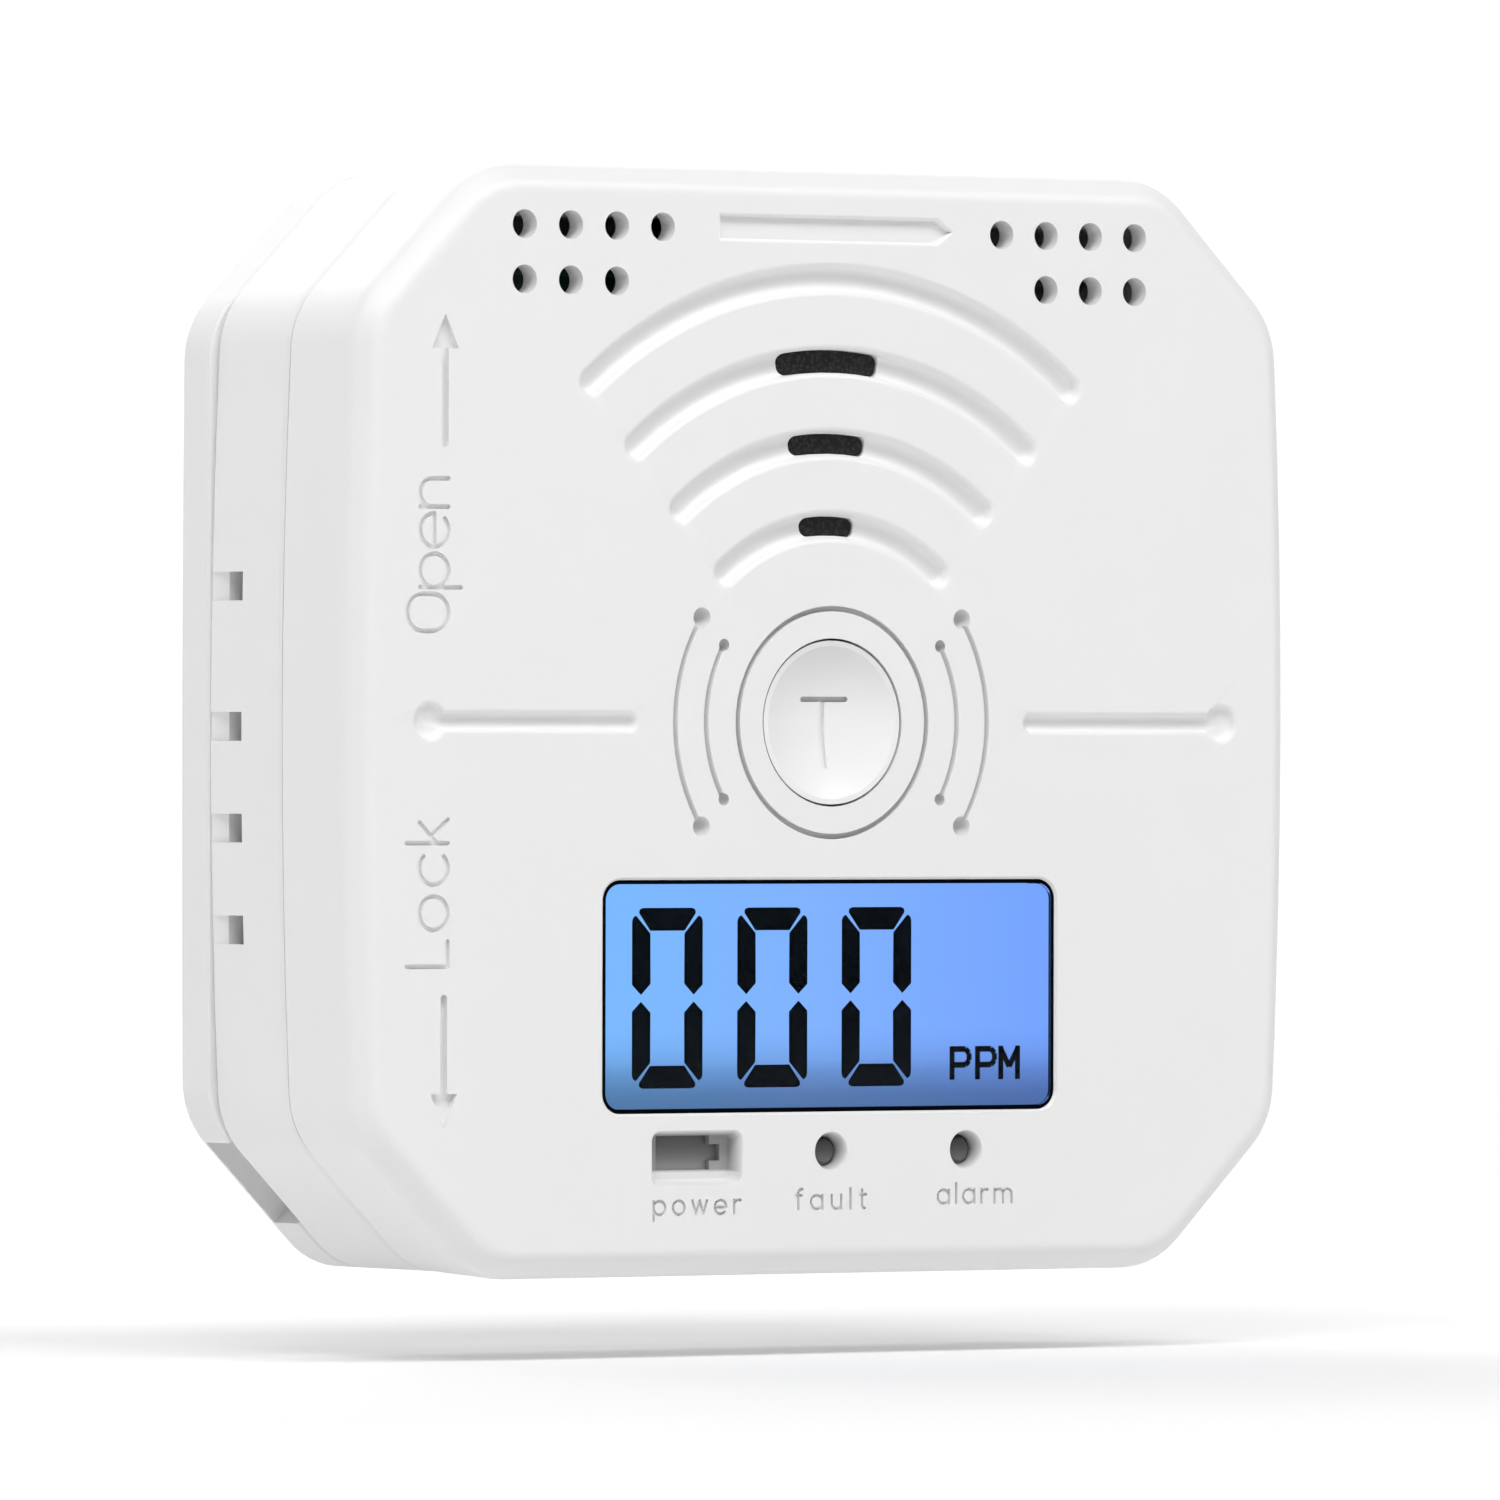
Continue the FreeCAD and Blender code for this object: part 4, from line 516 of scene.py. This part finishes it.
def unit_letters():
    """Capital letters made of straight strokes."""
    outlines = []
    half = UNIT_STROKE / 2
    bottom = UNIT_TOP - UNIT_HEIGHT
    upper = UNIT_TOP - half
    for letter, left, width in UNIT_LETTERS:
        inner = left + half
        outer = left + width - half
        outlines.append(bar((inner, bottom), (inner, UNIT_TOP)))
        if letter == "P":
            lower = UNIT_TOP - BOWL_SHARE * UNIT_HEIGHT
            turn = outer - BOWL_CORNER
            path = [(left, upper), (turn, upper), (outer, upper - BOWL_CORNER), (outer, lower + BOWL_CORNER),
                    (turn, lower), (left, lower)]
            outlines += [bar(start, end) for start, end in zip(path, path[1:])]
        else:
            dip = ((inner + outer) / 2, UNIT_TOP - DIP_SHARE * UNIT_HEIGHT)
            outlines.append(bar((outer, bottom), (outer, UNIT_TOP)))
            outlines += [bar((inner, upper), dip), bar(dip, (outer, upper))]
    return outlines


def display_segments():
    """The digits and the unit, between the window and the panel."""
    outlines = unit_letters()
    for middle in DIGIT_MIDDLES:
        outlines += zero(middle)
    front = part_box("display_window")[1].y + WINDOW_GAP
    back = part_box("lcd_panel")[0].y - PANEL_GAP
    mesh = prisms("display_segments", outlines, front, back)
    ink = dead_black("segment_black", (0.004, 0.007, 0.011))
    new_piece("display_segments", mesh, "alarm", ink)


# Every piece and its finish

# Painted shade on the button: darker towards its upper edge
BUTTON_PAINTED_SHADES = ((0.5, 1.0), (0.9, 0.86))
# The lights and the small window: their own smoked tint, with painted shade that darkens them towards their
# upper edge
LIGHT_SMOKE_AND_PAINTED_SHADE = ((0.15, 0.15), (0.5, 0.07), (0.85, 0.025))
WINDOW_SMOKE_AND_PAINTED_SHADE = ((0.0, 0.42), (0.35, 0.24), (0.65, 0.13), (1.0, 0.07))


def paint(material, *names):
    """Give CAD nodes a material."""
    for name in names:
        mesh = nodes[name].data
        mesh.materials.clear()
        mesh.materials.append(material)


def make_mouldings():
    """The case, the plate and the button as smooth skins in white plastic."""
    white = moulded_plastic("white_case_plastic", grey(0.82), 0.42)
    plate_white = moulded_plastic("white_plate_plastic", grey(0.8), 0.46)
    button_white = moulded_plastic("white_button_plastic", grey(0.84), 0.3, tone=0.006, gloss=0.006)
    # Painted shade on the upper part of the button
    paint_shade_upwards(button_white, "test_button", BUTTON_PAINTED_SHADES)
    front = moulded_skin("front_cover", "alarm", white)
    # Painted shade in the narrow grooves and holes of the face, and a painted highlight on the lower walls of
    # the holes over the lights
    paint_recess_shade(front, plastic_with_painted_recess_shade("white_plastic_with_painted_recess_shade", 0.82, 0.42))
    moulded_skin("rear_cover", "alarm", white)
    moulded_skin("mounting_plate", "mount", plate_white)
    button = moulded_skin(
        "test_button", "test_button", button_white, smooth_angle=24.0, has_flats=False)
    # Painted shade on the crossbar of the button's letter
    paint_crossbar_shade(button, moulded_plastic("button_plastic_with_painted_shade", grey(0.56), 0.4))


def paint_display():
    """The finishes of the display's window, panel, backlight and gasket."""
    paint(display_glow(), "lcd_panel")
    paint(moulded_plastic("blue_diffuser", (0.08, 0.2, 0.75), 0.3), "lcd_backlight")
    paint(clear_plastic("clear_window", 1.12), "display_window")
    paint(dead_black("black_foam", (0.002, 0.003, 0.005)), "display_gasket")


def paint_board():
    """The finishes of the circuit board, its parts and the lights."""
    tin = worked_metal("tinned_metal", grey(0.7), 0.3)
    epoxy = moulded_plastic("chip_epoxy", grey(0.02), 0.4, tone=0.15)
    # The lights: smoked epoxy with painted shade towards its upper edge
    lights = smoked_plastic_with_painted_shade("smoked_epoxy_with_painted_shade", "fault_led", 0.12, LIGHT_SMOKE_AND_PAINTED_SHADE)
    paint(tin, "lcd_pins", "led_leads", "co_sensor_pins")
    paint(circuit_board(), "circuit_board")
    paint(epoxy, "microcontroller", "chip_resistors")
    paint(worked_metal("capacitor_can", grey(0.66), 0.28), "capacitors")
    paint(worked_metal("sensor_can", grey(0.5), 0.22), "co_sensor_can", "co_sensor_cap")
    paint(lights, "power_led", "fault_led", "alarm_led")
    # The small window: smoked acrylic with painted shade towards its upper edge
    paint(smoked_plastic_with_painted_shade("smoked_acrylic_with_painted_shade", "power_window", 0.2, WINDOW_SMOKE_AND_PAINTED_SHADE), "power_window")


def paint_sound_and_switch():
    """The finishes of the buzzer, the cloth behind the sound slots and the switch."""
    black = moulded_plastic("black_plastic", grey(0.018), 0.45, tone=0.2)
    nickel = worked_metal("nickel_plate", grey(0.62), 0.25)
    paint(black, "buzzer_housing", "buzzer_base", "switch_body", "switch_plunger")
    paint(worked_metal("rolled_brass", (0.72, 0.5, 0.2), 0.3), "buzzer_disc")
    paint(woven_cloth(), "sound_screen")
    paint(nickel, "switch_cover", "switch_dome", "battery_contacts", "battery_springs")


def paint_power():
    """The finishes of the cells, their leads and the screws."""
    paint(battery_sleeve(), "battery_1", "battery_2", "battery_3")
    paint(moulded_plastic("red_insulation", (0.45, 0.01, 0.012), 0.4), "battery_lead_red")
    paint(moulded_plastic("black_insulation", grey(0.012), 0.4), "battery_lead_black")
    paint(worked_metal("zinc_plate", (0.5, 0.51, 0.53), 0.3), "case_screws", "board_screws")


# The camera has the photograph's view of the face: level, turned by the yaw, and moved a little left and down

CAMERA_YAW = math.radians(33.95)
CAMERA_ROLL = math.radians(0.142)
CAMERA_DISTANCE = 1.195
CAMERA_LEFT = 6.028 * MM
CAMERA_DOWN = 2.029 * MM
CAMERA_LENS = 391.6
SENSOR_WIDTH = 36.0


def make_camera():
    """The camera at the photograph's viewing angle."""
    forward = Vector((math.sin(CAMERA_YAW), math.cos(CAMERA_YAW), 0))
    right = Vector((math.cos(CAMERA_YAW), -math.sin(CAMERA_YAW), 0))
    up = Vector((0, 0, 1))
    data = bpy.data.cameras.new("camera")
    data.sensor_width = SENSOR_WIDTH
    data.lens = CAMERA_LENS
    data.clip_end = 20.0
    camera = bpy.data.objects.new("camera", data)
    bpy.context.scene.collection.objects.link(camera)
    centre = Vector((0, face_y, 0))
    place = centre - forward * CAMERA_DISTANCE - right * CAMERA_LEFT - up * CAMERA_DOWN
    turn = Matrix((right, up, -forward)).transposed().to_4x4()
    camera.matrix_world = Matrix.Translation(place) @ turn @ Matrix.Rotation(CAMERA_ROLL, 4, "Z")
    bpy.context.scene.camera = camera


# Square lights that look at the middle of the object's back: name, place, width and power in watts

LIGHTS = (
    ("centre_key", (0.0, -0.75, 1.15), 0.6, 7.1),
    ("left_key", (-0.75, -0.75, 1.15), 0.6, 8.9),
    ("right_key", (0.75, -0.8, 1.1), 0.6, 4.6),
    ("front_fill", (-0.55, -1.15, 0.4), 0.8, 1.0),
    ("back_top", (0.0, 0.75, 0.9), 0.8, 3.1),
)
WORLD_STRENGTH = 0.13


def area_light(name, place, width, power):
    """A square light that looks at the frame's origin."""
    data = bpy.data.lights.new(name, "AREA")
    data.shape = "SQUARE"
    data.size = width
    data.energy = power
    light = bpy.data.objects.new(name, data)
    bpy.context.scene.collection.objects.link(light)
    light.rotation_euler = (-Vector(place)).to_track_quat("-Z", "Y").to_euler()
    light.location = place


def make_world():
    """Dim, even, white light from all round."""
    world = bpy.data.worlds.new("studio")
    world.use_nodes = True
    background = world.node_tree.nodes["Background"]
    background.inputs["Color"].default_value = (1, 1, 1, 1)
    background.inputs["Strength"].default_value = WORLD_STRENGTH
    bpy.context.scene.world = world
    bpy.context.scene.view_settings.view_transform = "Standard"


# The floor lies so far under the part that the corner of the twisted alarm stays clear of it. It reaches this
# far to the sides and to the front, and behind the object it curves up into a backdrop.
FLOOR_GAP = 6 * MM
FLOOR_REACH = 12.0
BACKDROP_START = 1.7
BACKDROP_RADIUS = 0.8
BACKDROP_STEPS = 12
BACKDROP_TOP = 3.5

# How brightly the backdrop glows, and how much of that glow there is at each share of the way from just in
# front of the object to the backdrop
BACKDROP_GLOW = 0.8
GLOW_RANGE = (-0.1, 2.5)
FLOOR_GLOW = ((0.0, 0.073), (0.05, 0.18), (0.125, 0.24), (0.5, 0.66), (1.0, 1.0))


def make_floor():
    """A plain pale floor that curves up into a backdrop behind the object; its glow is painted light, faint
    just in front of the object and brighter towards the backdrop.
    """
    level = cad_box[0][2] - FLOOR_GAP
    rows = [(-FLOOR_REACH, level), (BACKDROP_START, level)]
    for step in range(1, BACKDROP_STEPS + 1):
        angle = math.radians(90 * step / BACKDROP_STEPS)
        back = BACKDROP_START + BACKDROP_RADIUS * math.sin(angle)
        rows.append((back, level + BACKDROP_RADIUS * (1 - math.cos(angle))))
    rows.append((BACKDROP_START + BACKDROP_RADIUS, BACKDROP_TOP))
    mesh = bpy.data.meshes.new("floor")
    points = [(x, y, z) for y, z in rows for x in (-FLOOR_REACH, FLOOR_REACH)]
    faces = [(2 * i, 2 * i + 1, 2 * i + 3, 2 * i + 2) for i in range(len(rows) - 1)]
    mesh.from_pydata(points, [], faces)
    mesh.polygons.foreach_set("use_smooth", [True] * len(mesh.polygons))
    floor = bpy.data.objects.new("floor", mesh)
    bpy.context.scene.collection.objects.link(floor)
    material, shader = new_material("floor_paper", {
        "Base Color": (*grey(0.78), 1.0), "Roughness": 0.8, "Emission Strength": BACKDROP_GLOW})
    # Painted light: the floor glows faintly in front of the object and more brightly towards the backdrop
    glow = ramp(material, along(material, "Y", *GLOW_RANGE), greys(FLOOR_GLOW))
    link(material, glow, shader.inputs["Emission Color"])
    mesh.materials.append(material)


make_mouldings()
paint_display()
paint_board()
paint_sound_and_switch()
paint_power()
display_segments()
make_camera()
for light in LIGHTS:
    area_light(*light)
make_world()
make_floor()
